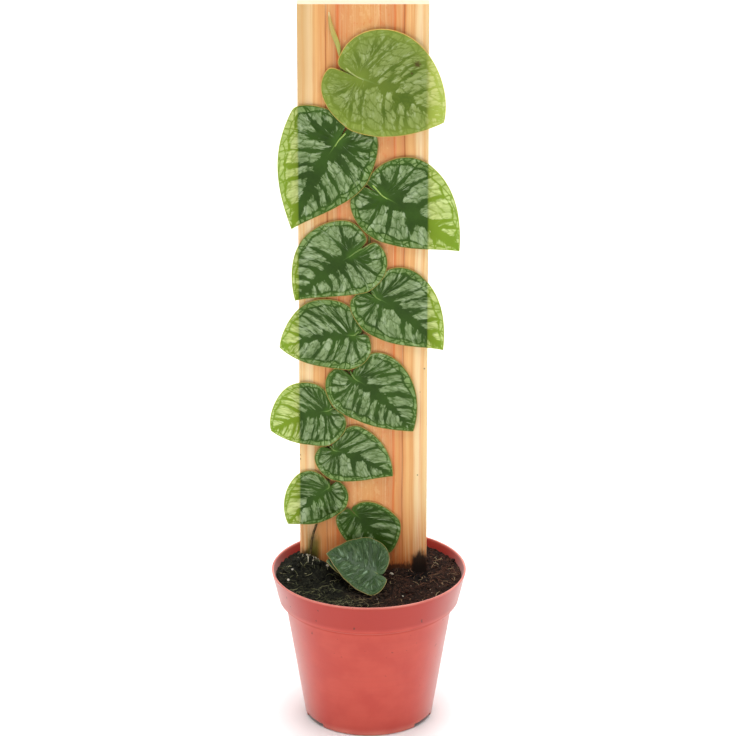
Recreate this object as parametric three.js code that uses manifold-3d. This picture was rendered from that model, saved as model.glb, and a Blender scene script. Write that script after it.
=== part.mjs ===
// A young shingle plant climbing a wooden board, in a nursery pot. Millimetres, +Z up.
// The origin is the centre of the pot's foot, and the leaves face -Y.
import * as THREE from 'three';
import { mergeVertices } from 'three/addons/utils/BufferGeometryUtils.js';
import Module from 'manifold-3d';

const wasm = await Module();
wasm.setup();

// Clearance between pieces that touch on the real plant.
const GAP = 0.3;

// Pot: thin moulded plastic with a flared rim band, a step under it and a raised floor.
const POT = {
  height: 95.8,
  rimRadius: 60,
  bandFoot: { radius: 55.4, z: 76.4 },
  shoulder: { radius: 51.6, z: 74.2 },
  footRadius: 39.7,
  footEdge: 0.8,
  footRing: 5.5,
  floorRise: 2.4,
  wall: 1.3,
  rimEdge: 0.8,
  rimTop: [0.4, 1.1],
  ringBevel: 1.2,
  bandWall: 1.2,
  lip: { inset: 1.5, drop: 0.6 },
  segments: 60,
};

// Drainage slots cut through the foot ring, clear of the pot's front.
const SLOT = { angles: [60, 120, 240, 300], width: 20, height: 2.4, depth: 12, behindRing: 1 };

// Soil: filled to just under the rim, banked up against the board on the stem's side.
const SOIL = {
  edge: 91,
  crown: 2.5,
  roughness: 0.5,
  waves: { x: 3.7, y: 4.3, crossX: 2.3, crossY: 2.9, crossShare: 0.6, shift: 1.3 },
  rings: 7,
  bank: { x: -38, y: -2, spreadX: 13, spreadY: 10, height: 12.5 },
  hollow: { x: 33, y: 0, spreadX: 5, spreadY: 4, height: -4 },
};

// Board: planed softwood, pushed down into the soil until the pot's taper holds it.
const BOARD = { left: -42.4, width: 78, front: 4, thickness: 9, foot: 44, top: 455.6, easing: 0.8 };

// Stem: creeps up the board's face from the bank of soil, zigzagging from leaf to leaf.
const STEM = {
  radiusFoot: 1,
  radiusTip: 0.9,
  buried: { x: -37, z: 84 },
  path: [
    [-36.2, 100], [-34.6, 116], [-32, 124.5], [-28.5, 138], [-24.6, 153], [-25, 178], [-19, 203],
    [-12, 227], [-4.8, 252.5], [0.6, 277.5], [0.4, 306], [-2.2, 348.5], [-11.5, 380], [-15, 402], [-16.8, 423],
  ],
  sides: 8,
  steps: 52,
};

// Aerial roots: short, one at each joint of the stem, gripping the board. From, to.
const ROOTS = [
  [[-24.6, 153], [-31, 147]], [[-25, 178], [-32.5, 175.5]], [[-19, 203], [-12.5, 197]],
  [[-12, 227], [-20, 225.5]], [[-4.8, 252.5], [2.5, 247.5]], [[0.6, 277.5], [-6.5, 273]],
  [[0.4, 306], [7, 301]], [[-2.2, 348.5], [-9, 343]],
];
const ROOT = { radius: 0.55, tipRadius: 0.28, bow: 0.8, sides: 5, steps: 3 };

// Growing tip: the rolled sheath of the next leaf, above the last joint.
const SHEATH = {
  path: [[-16.9, 424.6], [-18.4, 431.5], [-21.2, 439.2], [-22.8, 445.5], [-23.5, 451.2]],
  radius: 1.75,
  footShare: 0.62,
  tipLoss: 0.4,
  lift: 0.6,
  sides: 10,
  steps: 12,
};

// Leaf blades. Each side of a blade is drawn by one rule from five sizes:
// lobe, how far the base lobe reaches back past the petiole joint; lobeOut, how far out its
// backmost point lies; widestAt and halfWidth, the widest point; tipAngle, the half angle of the tip.
const side = (lobe, lobeOut, widestAt, halfWidth, tipAngle) => (
  { lobe, lobeOut, widestAt, halfWidth, tipAngle });

// Leaves that lie on the board, top one first, each resting on the next one's edge:
// joint x, z; length; direction of the tip in degrees; outer (upper) and inner side;
// route of the petiole from the stem; lift of the blade's far end off the board.
const SHINGLES = [
  { x: -6.4, z: 411.3, length: 57.6, turn: -28, lift: 3.5, petiole: [[-16.8, 422.2], [-13.2, 417.2]],
    outer: side(16, 9.5, 13, 36.5, 76), inner: side(18.5, 8, 12.5, 29.5, 57) },
  { x: -18.3, z: 371.7, length: 62, turn: -116.9, lift: 1, petiole: [[-11.5, 380], [-14.2, 376.8]],
    outer: side(15.5, 6.5, -4.5, 33, 46), inner: side(14.5, 15.5, 12, 26.5, 30) },
  { x: 8.4, z: 337.2, length: 57.4, turn: -36.9, lift: 1.5, petiole: [[-2.2, 348.5], [2.6, 344.2]],
    outer: side(14.5, 4.5, 9.5, 32.5, 57), inner: side(15.5, 8.5, 8.5, 24, 29) },
  { x: -10.1, z: 299.9, length: 45, turn: -139.7, lift: 0.8, petiole: [[0.4, 306], [-4.6, 304.2]],
    outer: side(15, 10, 10.5, 27.5, 65), inner: side(17, 6.5, 0, 23.5, 25) },
  { x: 4.9, z: 273, length: 52.5, turn: -40.2, lift: 1.2, petiole: [[0.6, 277.5], [2.4, 276]],
    outer: side(7.5, 12, 10.5, 27.5, 55), inner: side(11, 10.5, 10.5, 20.5, 28) },
  { x: -9, z: 249.2, length: 45.9, turn: -169.1, lift: 0.8, petiole: [[-4.8, 252.5], [-6.4, 251.4]],
    outer: side(5.5, 6, 19, 26, 76), inner: side(9, 7.5, 3.5, 20.5, 55) },
  { x: -8.4, z: 220.6, length: 49.6, turn: -44.3, lift: 0.8, petiole: [[-12, 227], [-10.6, 224.2]],
    outer: side(5, 15, 11.5, 26, 63), inner: side(13.5, 7.5, 4.5, 21.5, 43) },
  { x: -24.8, z: 199.7, length: 37.4, turn: -158.9, lift: 0.8, petiole: [[-19, 203], [-21.8, 201.6]],
    outer: side(3.5, 9, 14, 23.5, 86), inner: side(8, 8.5, 6.5, 20, 61) },
  { x: -21.3, z: 174, length: 40.3, turn: -26.4, lift: 0.6, petiole: [[-25, 178], [-23.2, 176.2]],
    outer: side(2.5, 6, 8.5, 20.5, 65), inner: side(9, 7, 6.5, 17.5, 30) },
  { x: -24.4, z: 149.5, length: 35.7, turn: -135.2, lift: 0.6, petiole: [[-24.6, 153], [-24.6, 151.4]],
    outer: side(2.5, 7, 9.5, 19, 70), inner: side(7, 4.5, 4.5, 17, 49) },
  { x: -9.1, z: 131.5, length: 34.6, turn: -51.6, lift: 0.5,
    petiole: [[-28.8, 137], [-22, 136.4], [-15, 135.2], [-11, 133.6]],
    outer: side(3.6, 4, 20, 19, 96), inner: side(5.5, 8, 11, 15.4, 36) },
];

// Old leaves that lean out over the soil: joint; direction of the tip; direction of the inner
// side; route of the petiole from the joint down into the soil.
const FREE_LEAVES = [
  { joint: [5, -23.9, 102.6], along: [-0.898, 0.361, 0.253], inward: [-0.44, -0.735, -0.515],
    length: 34.8, lift: -2, petiole: [[4, -20, 99.5], [3, -17, 94], [3, -16, 84]],
    outer: side(3.8, 6, 12.5, 21.8, 68), inner: side(8, 6, -1, 16, 36) },
  { joint: [-4, -13, 105.8], along: [-0.86, -0.02, 0.02], inward: [-0.1, -0.8, -0.55],
    length: 22.3, lift: -0.5, petiole: [[-2.5, -11.5, 102], [-2, -10.5, 96], [-2, -10.5, 84]],
    outer: side(4, 5, 6, 11, 60), inner: side(5, 4, 6, 11, 50) },
];

// Rules that all blades share.
const BLADE = {
  thickness: 0.7,
  restHeight: 0.5,
  overlapGap: 0.4,
  overlapRamp: 7,
  stemRamp: 11,
  sway: 0.45,
  swayWaves: { x: 9, z: 14, crossX: 17, crossZ: 11 },
  midribBow: 0.035,
  veinBow: 0.16,
  fanShare: 0.42,
  footPower: 1.15,
  veinSteps: 18,
  acrossSteps: 4,
  ringSteps: 24,
  sinus: { back: 0.95, open: 0.05, round: 0.09 },
  outerFullness: [0.45, 0.4],
  innerFullness: [0.42, 0.36],
};
const PETIOLE = {
  radius: 0.8,
  tipRadius: 0.45,
  proud: 0.2,
  rootIn: 0.16,
  clearance: 1.3,
  ramp: 4.5,
  sides: 6,
  steps: 6,
};

const COLOUR = {
  plastic: 0xc85a4c,
  soil: 0x2e241c,
  wood: 0xe0b070,
  stem: 0x6b5a2e,
  sheath: 0xb7c06a,
  youngLeaf: 0x9db64d,
  leaf: 0x4f7a3c,
  oldLeaf: 0x3f6136,
};

// Eases 0..1 with level ends.
function ease(value) {
  const v = THREE.MathUtils.clamp(value, 0, 1);
  return v * v * (3 - 2 * v);
}

// A closed triangle mesh as a solid that can be joined and cut.
function toSolid(geometry) {
  const bare = geometry.clone();
  bare.deleteAttribute('normal');
  bare.deleteAttribute('uv');
  const merged = mergeVertices(bare, 1e-4);
  return new wasm.Manifold(new wasm.Mesh({
    numProp: 3,
    vertProperties: new Float32Array(merged.attributes.position.array),
    triVerts: new Uint32Array(merged.index.array),
  }));
}

function toGeometry(solid) {
  const mesh = solid.getMesh();
  const geometry = new THREE.BufferGeometry();
  geometry.setAttribute('position', new THREE.BufferAttribute(new Float32Array(mesh.vertProperties), 3));
  geometry.setIndex(new THREE.BufferAttribute(new Uint32Array(mesh.triVerts), 1));
  geometry.computeVertexNormals();
  return geometry;
}

// Triangles of a list of corners; those that a pole flattens to a line are left out.
function fromTriangles(points, triangles) {
  const flat = [];
  const ab = new THREE.Vector3();
  const ac = new THREE.Vector3();
  for (const [a, b, c] of triangles) {
    ab.subVectors(points[b], points[a]);
    ac.subVectors(points[c], points[a]);
    if (ab.cross(ac).lengthSq() < 1e-9) continue;
    for (const i of [a, b, c]) flat.push(points[i].x, points[i].y, points[i].z);
  }
  const geometry = new THREE.BufferGeometry();
  geometry.setAttribute('position', new THREE.Float32BufferAttribute(flat, 3));
  return mergeVertices(geometry, 1e-4);
}

// A round bar along a curve, with its own radius at each share of the length and flat ends.
function sweep(curve, radiusAt, sides, steps) {
  const frames = curve.computeFrenetFrames(steps, false);
  const points = [];
  const triangles = [];
  for (let i = 0; i <= steps; i += 1) {
    const centre = curve.getPointAt(i / steps);
    for (let k = 0; k < sides; k += 1) {
      const angle = (2 * Math.PI * k) / sides;
      points.push(centre.clone()
        .addScaledVector(frames.normals[i], radiusAt(i / steps) * Math.cos(angle))
        .addScaledVector(frames.binormals[i], radiusAt(i / steps) * Math.sin(angle)));
    }
  }
  for (let i = 0; i < steps; i += 1) {
    for (let k = 0; k < sides; k += 1) {
      const here = i * sides + k;
      const next = i * sides + ((k + 1) % sides);
      triangles.push([here, next, here + sides], [next, next + sides, here + sides]);
    }
  }
  for (const [ring, flip] of [[0, true], [steps, false]]) {
    const middle = points.push(curve.getPointAt(ring / steps)) - 1;
    for (let k = 0; k < sides; k += 1) {
      const here = ring * sides + k;
      const next = ring * sides + ((k + 1) % sides);
      triangles.push(flip ? [middle, next, here] : [middle, here, next]);
    }
  }
  return fromTriangles(points, triangles);
}

// Points on the board's face, x, z, become space points at a height in front of it.
function onBoard(x, z, height) {
  return new THREE.Vector3(x, BOARD.front - height, z);
}

function smoothPath(points) {
  return new THREE.CatmullRomCurve3(points, false, 'centripetal');
}

// One side of a blade's outline, from the petiole joint round the lobe to the tip:
// x along the midrib, y out from it. A short curve into the lobe, a quarter ellipse to the
// widest point, and a curve that meets the tip at its angle.
function outlineSide(sizes, length, fullness) {
  const quarter = 0.5523;
  const { sinus } = BLADE;
  const { lobe, lobeOut, widestAt, halfWidth } = sizes;
  const angle = THREE.MathUtils.degToRad(sizes.tipAngle);
  const reach = length - widestAt;
  const at = (x, y) => new THREE.Vector2(x, y);
  const back = at(-lobe, lobeOut);
  const widest = at(widestAt, halfWidth);
  const path = new THREE.CurvePath();
  path.add(new THREE.CubicBezierCurve(
    at(0, 0), at(-sinus.back * lobe, sinus.open * lobeOut), at(-lobe, sinus.round * lobeOut), back));
  path.add(new THREE.CubicBezierCurve(
    back, at(-lobe, lobeOut + quarter * (halfWidth - lobeOut)),
    at(widestAt - quarter * (widestAt + lobe), halfWidth), widest));
  path.add(new THREE.CubicBezierCurve(
    widest, at(widestAt + fullness[0] * reach, halfWidth),
    at(length - fullness[1] * reach * Math.cos(angle), fullness[1] * reach * Math.sin(angle)),
    at(length, 0)));
  return path;
}

// A point of a blade's grid in its own plane: s runs along the veins' feet from the joint to
// the tip, t from the midrib out along an arched vein to the margin. The first share of the
// veins fans out from the joint, and the others leave the midrib one after another.
function bladePoint(leaf, sign, s, t) {
  const edge = (sign > 0 ? leaf.outerEdge : leaf.innerEdge).getPointAt(s);
  const run = Math.max(0, (s - BLADE.fanShare) / (1 - BLADE.fanShare)) ** BLADE.footPower;
  const foot = new THREE.Vector2(run * leaf.length, BLADE.midribBow * 4 * leaf.length * run * (1 - run));
  const end = new THREE.Vector2(edge.x, sign * edge.y);
  const chord = end.clone().sub(foot);
  const arch = BLADE.veinBow * Math.sin(Math.PI * s);
  const middle = foot.clone().addScaledVector(chord, 0.5)
    .add(new THREE.Vector2(-Math.abs(chord.y), sign * Math.max(chord.x, 0)).multiplyScalar(arch));
  return new THREE.QuadraticBezierCurve(foot, middle, end).getPoint(t);
}

// A closed blade: the grid of both sides on its back and front face, and the margin's edge
// between them. place turns plane coordinates and a face, 0 back or 1 front, into space.
function bladeGeometry(leaf, place) {
  const { veinSteps, acrossSteps } = BLADE;
  const points = [];
  const triangles = [];
  const row = acrossSteps + 1;
  const sheet = (veinSteps + 1) * row;
  for (const sign of [1, -1]) {
    for (const face of [0, 1]) {
      for (let i = 0; i <= veinSteps; i += 1) {
        for (let j = 0; j <= acrossSteps; j += 1) {
          const p = bladePoint(leaf, sign, i / veinSteps, j / acrossSteps);
          points.push(place(p.x, p.y, face));
        }
      }
    }
  }
  for (const [side, sign] of [[0, 1], [1, -1]]) {
    const back = side * 2 * sheet;
    const front = back + sheet;
    const flip = sign * leaf.hand < 0;
    const add = (a, b, c) => triangles.push(flip ? [a, c, b] : [a, b, c]);
    for (let i = 0; i < veinSteps; i += 1) {
      for (let j = 0; j < acrossSteps; j += 1) {
        const here = i * row + j;
        add(front + here, front + here + row, front + here + row + 1);
        add(front + here, front + here + row + 1, front + here + 1);
        add(back + here, back + here + row + 1, back + here + row);
        add(back + here, back + here + 1, back + here + row + 1);
      }
      const rim = i * row + acrossSteps;
      add(back + rim, front + rim + row, back + rim + row);
      add(back + rim, front + rim, front + rim + row);
    }
  }
  return fromTriangles(points, triangles);
}

// Shortest distance from a point to a line of points.
function distanceTo(line, x, z) {
  let shortest = Infinity;
  for (let i = 1; i < line.length; i += 1) {
    const [x0, z0] = line[i - 1];
    const [dx, dz] = [line[i][0] - x0, line[i][1] - z0];
    const share = THREE.MathUtils.clamp(((x - x0) * dx + (z - z0) * dz) / (dx * dx + dz * dz + 1e-9), 0, 1);
    shortest = Math.min(shortest, Math.hypot(x - x0 - share * dx, z - z0 - share * dz));
  }
  return shortest;
}

function isInside(ring, x, z) {
  let inside = false;
  for (let i = 1; i < ring.length; i += 1) {
    const [x0, z0] = ring[i - 1];
    const [x1, z1] = ring[i];
    if ((z0 > z) !== (z1 > z) && x < x0 + ((x1 - x0) * (z - z0)) / (z1 - z0)) inside = !inside;
  }
  return inside;
}

// A board leaf with its outline, its directions on the board and its petiole's route.
function makeShingle(sizes) {
  const turn = THREE.MathUtils.degToRad(sizes.turn);
  const hand = Math.cos(turn) > 0 ? 1 : -1;
  const leaf = {
    ...sizes,
    hand,
    along: [Math.cos(turn), Math.sin(turn)],
    out: [-hand * Math.sin(turn), hand * Math.cos(turn)],
    outerEdge: outlineSide(sizes.outer, sizes.length, BLADE.outerFullness),
    innerEdge: outlineSide(sizes.inner, sizes.length, BLADE.innerFullness),
  };
  leaf.at = (a, b) => [
    leaf.x + a * leaf.along[0] + b * leaf.out[0],
    leaf.z + a * leaf.along[1] + b * leaf.out[1],
  ];
  const shares = Array.from({ length: BLADE.ringSteps + 1 }, (_, i) => i / BLADE.ringSteps);
  const outer = shares.map((s) => leaf.outerEdge.getPointAt(s)).map((p) => leaf.at(p.x, p.y));
  const inner = shares.map((s) => leaf.innerEdge.getPointAt(1 - s)).map((p) => leaf.at(p.x, -p.y));
  leaf.ring = [...outer, ...inner];
  leaf.petioleLine = [...sizes.petiole, [leaf.x, leaf.z]];
  return leaf;
}

const shingles = SHINGLES.map(makeShingle);

// Height of the first clear surface over the board's face: a slight sway, raised over the stem.
function bedHeight(x, z) {
  const overStem = 3 * GAP + 2 * STEM.radiusFoot;
  const { x: longX, z: longZ, crossX, crossZ } = BLADE.swayWaves;
  const near = ease(1 - (distanceTo(STEM.path, x, z) - STEM.radiusFoot) / BLADE.stemRamp);
  const sway = BLADE.sway * (1 + Math.sin(x / longX + z / longZ) * Math.cos(x / crossX - z / crossZ)) / 2;
  return BLADE.restHeight + sway + (overStem - BLADE.restHeight) * near;
}

// Height of a board leaf's back face: the bed, raised where the next lower leaf or its
// petiole lies under it, with an eased ramp outside that leaf, and lifted at its far end.
function leafHeight(index, x, z) {
  const leaf = shingles[index];
  const lower = shingles[index + 1];
  let height = bedHeight(x, z);
  if (lower) {
    const toPetiole = Math.max(0, distanceTo(lower.petioleLine, x, z) - PETIOLE.radius);
    const toBlade = isInside(lower.ring, x, z) ? 0 : distanceTo(lower.ring, x, z);
    const cover = ease(1 - Math.min(toBlade, toPetiole) / BLADE.overlapRamp);
    if (cover > 0) {
      const ridge = PETIOLE.clearance * ease(1 - toPetiole / PETIOLE.ramp);
      const above = leafHeight(index + 1, x, z) + BLADE.thickness + BLADE.overlapGap + ridge;
      height += cover * Math.max(0, above - height);
    }
  }
  const far = Math.hypot(x - leaf.x, z - leaf.z) / leaf.length;
  return height + leaf.lift * far * far;
}

const stemHeight = GAP + STEM.radiusFoot;

function stemCurve() {
  const { buried, path } = STEM;
  const route = [[buried.x, buried.z], ...path];
  return smoothPath(route.map(([x, z]) => onBoard(x, z, stemHeight)));
}

// The stem with its aerial roots sunk into it, or the room that other pieces leave for it.
function stemSolid(extra) {
  const { radiusFoot, radiusTip, sides, steps } = STEM;
  const radiusAt = (share) => radiusFoot + (radiusTip - radiusFoot) * share + extra;
  let solid = toSolid(sweep(stemCurve(), radiusAt, sides, steps));
  for (const [from, to] of ROOTS) {
    const curve = smoothPath([
      onBoard(from[0], from[1], stemHeight),
      onBoard((from[0] + to[0]) / 2, (from[1] + to[1]) / 2 + ROOT.bow, GAP + ROOT.radius),
      onBoard(to[0], to[1], GAP + ROOT.tipRadius),
    ]);
    const taper = (share) => ROOT.radius + (ROOT.tipRadius - ROOT.radius) * share + extra / 2;
    solid = solid.add(toSolid(sweep(curve, taper, ROOT.sides, ROOT.steps)));
  }
  return solid;
}

// A petiole that thins towards the blade, where its curve ends.
function petioleSolid(curve, extra) {
  const { radius, tipRadius, sides, steps } = PETIOLE;
  return toSolid(sweep(curve, (share) => radius + (tipRadius - radius) * share + extra, sides, steps));
}

// A board leaf: its blade and petiole in one, cut clear of the stem that it grows from.
function shingleGeometry(index, stemRoom) {
  const leaf = shingles[index];
  const place = (a, b, face) => {
    const [x, z] = leaf.at(a, b);
    return onBoard(x, z, leafHeight(index, x, z) + face * BLADE.thickness);
  };
  const blade = toSolid(bladeGeometry(leaf, place));
  const middle = BLADE.thickness / 2;
  const [start, ...bends] = leaf.petioleLine;
  const inBlade = leaf.at(PETIOLE.rootIn * leaf.length, 0);
  const curve = smoothPath([
    onBoard(start[0], start[1], stemHeight),
    ...bends.map(([x, z]) => onBoard(x, z, leafHeight(index, x, z) + middle + PETIOLE.proud)),
    onBoard(inBlade[0], inBlade[1], leafHeight(index, inBlade[0], inBlade[1]) + middle),
  ]);
  return toGeometry(blade.add(petioleSolid(curve, 0)).subtract(stemRoom));
}

// A free leaf: a flat blade that droops at its far end, with a petiole down into the soil.
function makeFreeLeaf(sizes) {
  const joint = new THREE.Vector3(...sizes.joint);
  const along = new THREE.Vector3(...sizes.along).normalize();
  const inward = new THREE.Vector3(...sizes.inward).normalize();
  const facing = new THREE.Vector3().crossVectors(along, inward).normalize();
  const leaf = {
    ...sizes,
    hand: -1,
    outerEdge: outlineSide(sizes.outer, sizes.length, BLADE.outerFullness),
    innerEdge: outlineSide(sizes.inner, sizes.length, BLADE.innerFullness),
  };
  const place = (a, b, face) => {
    const droop = sizes.lift * (a * a + b * b) / sizes.length ** 2;
    return joint.clone().addScaledVector(along, a).addScaledVector(inward, -b)
      .addScaledVector(facing, droop + (face - 0.5) * BLADE.thickness);
  };
  const fromSoil = sizes.petiole.map((p) => new THREE.Vector3(...p)).reverse();
  const route = [...fromSoil, joint, place(PETIOLE.rootIn * sizes.length, 0, 0.5)];
  return { blade: toSolid(bladeGeometry(leaf, place)), petiole: smoothPath(route) };
}

// A solid of stacked rings round the axis; a ring's height may vary with x and y.
function ringSolid(rings, segments) {
  const points = [];
  const triangles = [];
  for (const { radius, height } of rings) {
    for (let k = 0; k < segments; k += 1) {
      const angle = (2 * Math.PI * k) / segments;
      const [x, y] = [radius * Math.cos(angle), radius * Math.sin(angle)];
      points.push(new THREE.Vector3(x, y, height(x, y)));
    }
  }
  for (let i = 1; i < rings.length; i += 1) {
    for (let k = 0; k < segments; k += 1) {
      const low = (i - 1) * segments + k;
      const next = (i - 1) * segments + ((k + 1) % segments);
      triangles.push([low, next, low + segments], [next, next + segments, low + segments]);
    }
  }
  return toSolid(fromTriangles(points, triangles));
}

function boxSolid(low, high) {
  const size = high.map((value, i) => value - low[i]);
  const box = new THREE.BoxGeometry(...size);
  box.translate(...low.map((value, i) => value + size[i] / 2));
  return toSolid(box);
}

// The pot's inner wall, from the foot's groove up to the soil's edge.
const inner = {
  groove: { radius: POT.footRadius - POT.wall, z: POT.wall },
  shoulder: { radius: POT.shoulder.radius - POT.bandWall, z: POT.shoulder.z + POT.bandWall },
  bandFoot: { radius: POT.bandFoot.radius - POT.bandWall, z: POT.bandFoot.z + POT.bandWall },
  lip: { radius: POT.rimRadius - POT.lip.inset, z: POT.height - POT.lip.drop },
};

function potGeometry() {
  const { height, rimRadius, bandFoot, shoulder, footRadius, footEdge, footRing, floorRise, wall } = POT;
  const ringInside = footRadius - footRing;
  const floorEdge = ringInside - POT.ringBevel;
  const profile = [
    [0, floorRise], [floorEdge, floorRise], [ringInside, 0], [footRadius - footEdge, 0],
    [footRadius, footEdge], [shoulder.radius, shoulder.z], [bandFoot.radius, bandFoot.z],
    [rimRadius, height - POT.rimEdge], ...POT.rimTop.map((inset) => [rimRadius - inset, height]),
    [inner.lip.radius, inner.lip.z], [inner.bandFoot.radius, inner.bandFoot.z],
    [inner.shoulder.radius, inner.shoulder.z], [inner.groove.radius, inner.groove.z],
    [ringInside, wall], [floorEdge, floorRise + wall], [0, floorRise + wall],
  ];
  const shell = new THREE.LatheGeometry(profile.map(([r, z]) => new THREE.Vector2(r, z)), POT.segments);
  shell.rotateX(Math.PI / 2);
  let solid = toSolid(shell);
  for (const angle of SLOT.angles) {
    const cutter = new THREE.BoxGeometry(SLOT.width, SLOT.depth, 2 * SLOT.height);
    cutter.translate(0, -(ringInside + SLOT.depth / 2 - SLOT.behindRing), 0);
    cutter.rotateZ(THREE.MathUtils.degToRad(angle));
    solid = solid.subtract(toSolid(cutter));
  }
  return toGeometry(solid);
}

// Radius of the soil at its edge, where it meets the rim band.
const bandSlope = (inner.lip.radius - inner.bandFoot.radius) / (inner.lip.z - inner.bandFoot.z);
const soilRadius = inner.bandFoot.radius + bandSlope * (SOIL.edge - inner.bandFoot.z) - GAP;

// Height of the soil: a low crown, the bank round the stem, the hollow at the board's end,
// and lumps from crossed waves.
function soilTop(x, y) {
  const share = Math.hypot(x, y) / soilRadius;
  let z = SOIL.edge + SOIL.crown * (1 - share * share);
  for (const mound of [SOIL.bank, SOIL.hollow]) {
    const [fromX, fromY] = [(x - mound.x) / mound.spreadX, (y - mound.y) / mound.spreadY];
    z += mound.height * Math.exp(-(fromX ** 2) - fromY ** 2);
  }
  const { waves } = SOIL;
  const lumps = Math.sin(x / waves.x + waves.shift) * Math.cos(y / waves.y)
    + waves.crossShare * Math.sin(x / waves.crossX - y / waves.crossY);
  return z + SOIL.roughness * lumps * (1 - share ** 4);
}

function soilGeometry(rooms) {
  const floor = POT.floorRise + POT.wall + GAP;
  const ringInside = POT.footRadius - POT.footRing;
  const level = (z) => () => z;
  const rings = [
    { radius: 0, height: level(floor) },
    { radius: ringInside - POT.ringBevel + GAP, height: level(floor) },
    { radius: ringInside + 2 * GAP, height: level(POT.wall + GAP) },
    { radius: inner.groove.radius - GAP, height: level(POT.wall + GAP) },
    { radius: inner.shoulder.radius - GAP, height: level(inner.shoulder.z + GAP / 2) },
    { radius: inner.bandFoot.radius - GAP, height: level(inner.bandFoot.z + GAP / 2) },
  ];
  for (let i = SOIL.rings; i >= 0; i -= 1) {
    rings.push({ radius: soilRadius * (i / SOIL.rings), height: soilTop });
  }
  let solid = ringSolid(rings, POT.segments);
  for (const room of rooms) solid = solid.subtract(room);
  return toGeometry(solid);
}

function boardSolid(extra) {
  const { left, width, front, thickness, foot, top } = BOARD;
  const low = [left - extra, front - extra, foot - extra];
  return boxSolid(low, [left + width + extra, front + thickness + extra, top]);
}

// The board with its long edges eased, as an outline extruded along its height.
function boardGeometry() {
  const { left, width, front, thickness, foot, top, easing } = BOARD;
  const [right, back] = [left + width, front + thickness];
  const shape = new THREE.Shape([
    [left + easing, front], [right - easing, front], [right, front + easing], [right, back - easing],
    [right - easing, back], [left + easing, back], [left, back - easing], [left, front + easing],
  ].map(([x, y]) => new THREE.Vector2(x, y)));
  const board = new THREE.ExtrudeGeometry(shape, { depth: top - foot, bevelEnabled: false });
  board.translate(0, 0, foot);
  return board;
}

function sheathGeometry(stemRoom) {
  const { path, radius, footShare, tipLoss, lift, sides, steps } = SHEATH;
  const curve = smoothPath(path.map(([x, z]) => onBoard(x, z, stemHeight + lift)));
  const swell = (share) => footShare + (1 - footShare) * Math.sin(Math.PI * share) - tipLoss * share ** 3;
  const rolled = toSolid(sweep(curve, (share) => radius * swell(share), sides, steps));
  return toGeometry(rolled.subtract(stemRoom));
}

const plant = new THREE.Group();

function addPiece(name, geometry, colour, roughness) {
  const material = new THREE.MeshStandardMaterial({ color: colour, roughness, metalness: 0 });
  const mesh = new THREE.Mesh(geometry, material);
  mesh.name = name;
  plant.add(mesh);
}

const stemRoom = stemSolid(GAP);
const freeLeaves = FREE_LEAVES.map(makeFreeLeaf);
const petioleRooms = freeLeaves.map(({ petiole }) => petioleSolid(petiole, GAP));

addPiece('pot', potGeometry(), COLOUR.plastic, 0.5);
addPiece('soil', soilGeometry([boardSolid(GAP), stemRoom, ...petioleRooms]), COLOUR.soil, 0.95);
addPiece('board', boardGeometry(), COLOUR.wood, 0.6);
addPiece('stem', toGeometry(stemSolid(0)), COLOUR.stem, 0.6);
addPiece('growing_tip', sheathGeometry(stemRoom), COLOUR.sheath, 0.45);
shingles.forEach((leaf, index) => {
  const name = `leaf_${String(index + 1).padStart(2, '0')}`;
  addPiece(name, shingleGeometry(index, stemRoom), index === 0 ? COLOUR.youngLeaf : COLOUR.leaf, 0.45);
});
freeLeaves.forEach(({ blade, petiole }, index) => {
  const name = `leaf_${String(shingles.length + index + 1).padStart(2, '0')}`;
  addPiece(name, toGeometry(blade.add(petioleSolid(petiole, 0))), COLOUR.oldLeaf, 0.35);
});

export default plant;
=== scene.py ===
"""A young shingle plant that climbs a wooden board out of a nursery pot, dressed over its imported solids.

Sizes are named in millimetres, as on a drawing, and MM turns them into the scene's metres where a mesh,
a light or a camera is made. The origin is the centre of the pot's foot, +Z is up and the leaves face -Y.
Colours are named as on a screen, 0 to 255, and tint turns them into the linear colours of the shaders.
"""

import logging
import math
from dataclasses import dataclass, field, replace
from enum import Enum
from typing import Callable, Iterable, Optional, Sequence, Union

import bmesh
import bpy
import numpy as np
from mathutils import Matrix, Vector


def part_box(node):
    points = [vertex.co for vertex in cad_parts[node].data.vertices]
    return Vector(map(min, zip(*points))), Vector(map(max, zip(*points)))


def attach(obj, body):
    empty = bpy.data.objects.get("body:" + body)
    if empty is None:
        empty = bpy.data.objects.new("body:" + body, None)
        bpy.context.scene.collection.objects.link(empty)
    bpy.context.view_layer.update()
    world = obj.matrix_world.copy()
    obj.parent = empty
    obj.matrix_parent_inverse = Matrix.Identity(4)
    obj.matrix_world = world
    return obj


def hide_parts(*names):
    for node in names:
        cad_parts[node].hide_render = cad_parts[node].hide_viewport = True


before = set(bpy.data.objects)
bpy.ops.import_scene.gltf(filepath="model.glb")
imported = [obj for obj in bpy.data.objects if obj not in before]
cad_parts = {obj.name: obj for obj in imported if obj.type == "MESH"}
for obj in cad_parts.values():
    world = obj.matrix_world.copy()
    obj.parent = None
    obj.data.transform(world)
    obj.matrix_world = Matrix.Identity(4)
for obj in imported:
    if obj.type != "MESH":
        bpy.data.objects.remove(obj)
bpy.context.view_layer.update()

LOG = logging.getLogger("shingle_plant")
MM = 0.001
BODY = "root"
SHARP_ANGLE = math.radians(42)
WELD = 2e-6  # points of a mesh that lie closer than this, in metres, become one
SLIVER = 1e-7  # edges of a mesh shorter than this, in metres, are taken out
TINY, LEAST_EDGE, LEAST_RUN = 1e-9, 1e-6, 1e-3  # keep a divisor from being zero
LAYER_SHIFT = (13.7, -7.1)  # how far each layer of noise is moved from the one before
END_REACH = 0.4  # how far a bar's ends stand out, in radii
COMMON_LENGTH = 55.0  # a leaf of common size, from joint to tip
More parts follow.
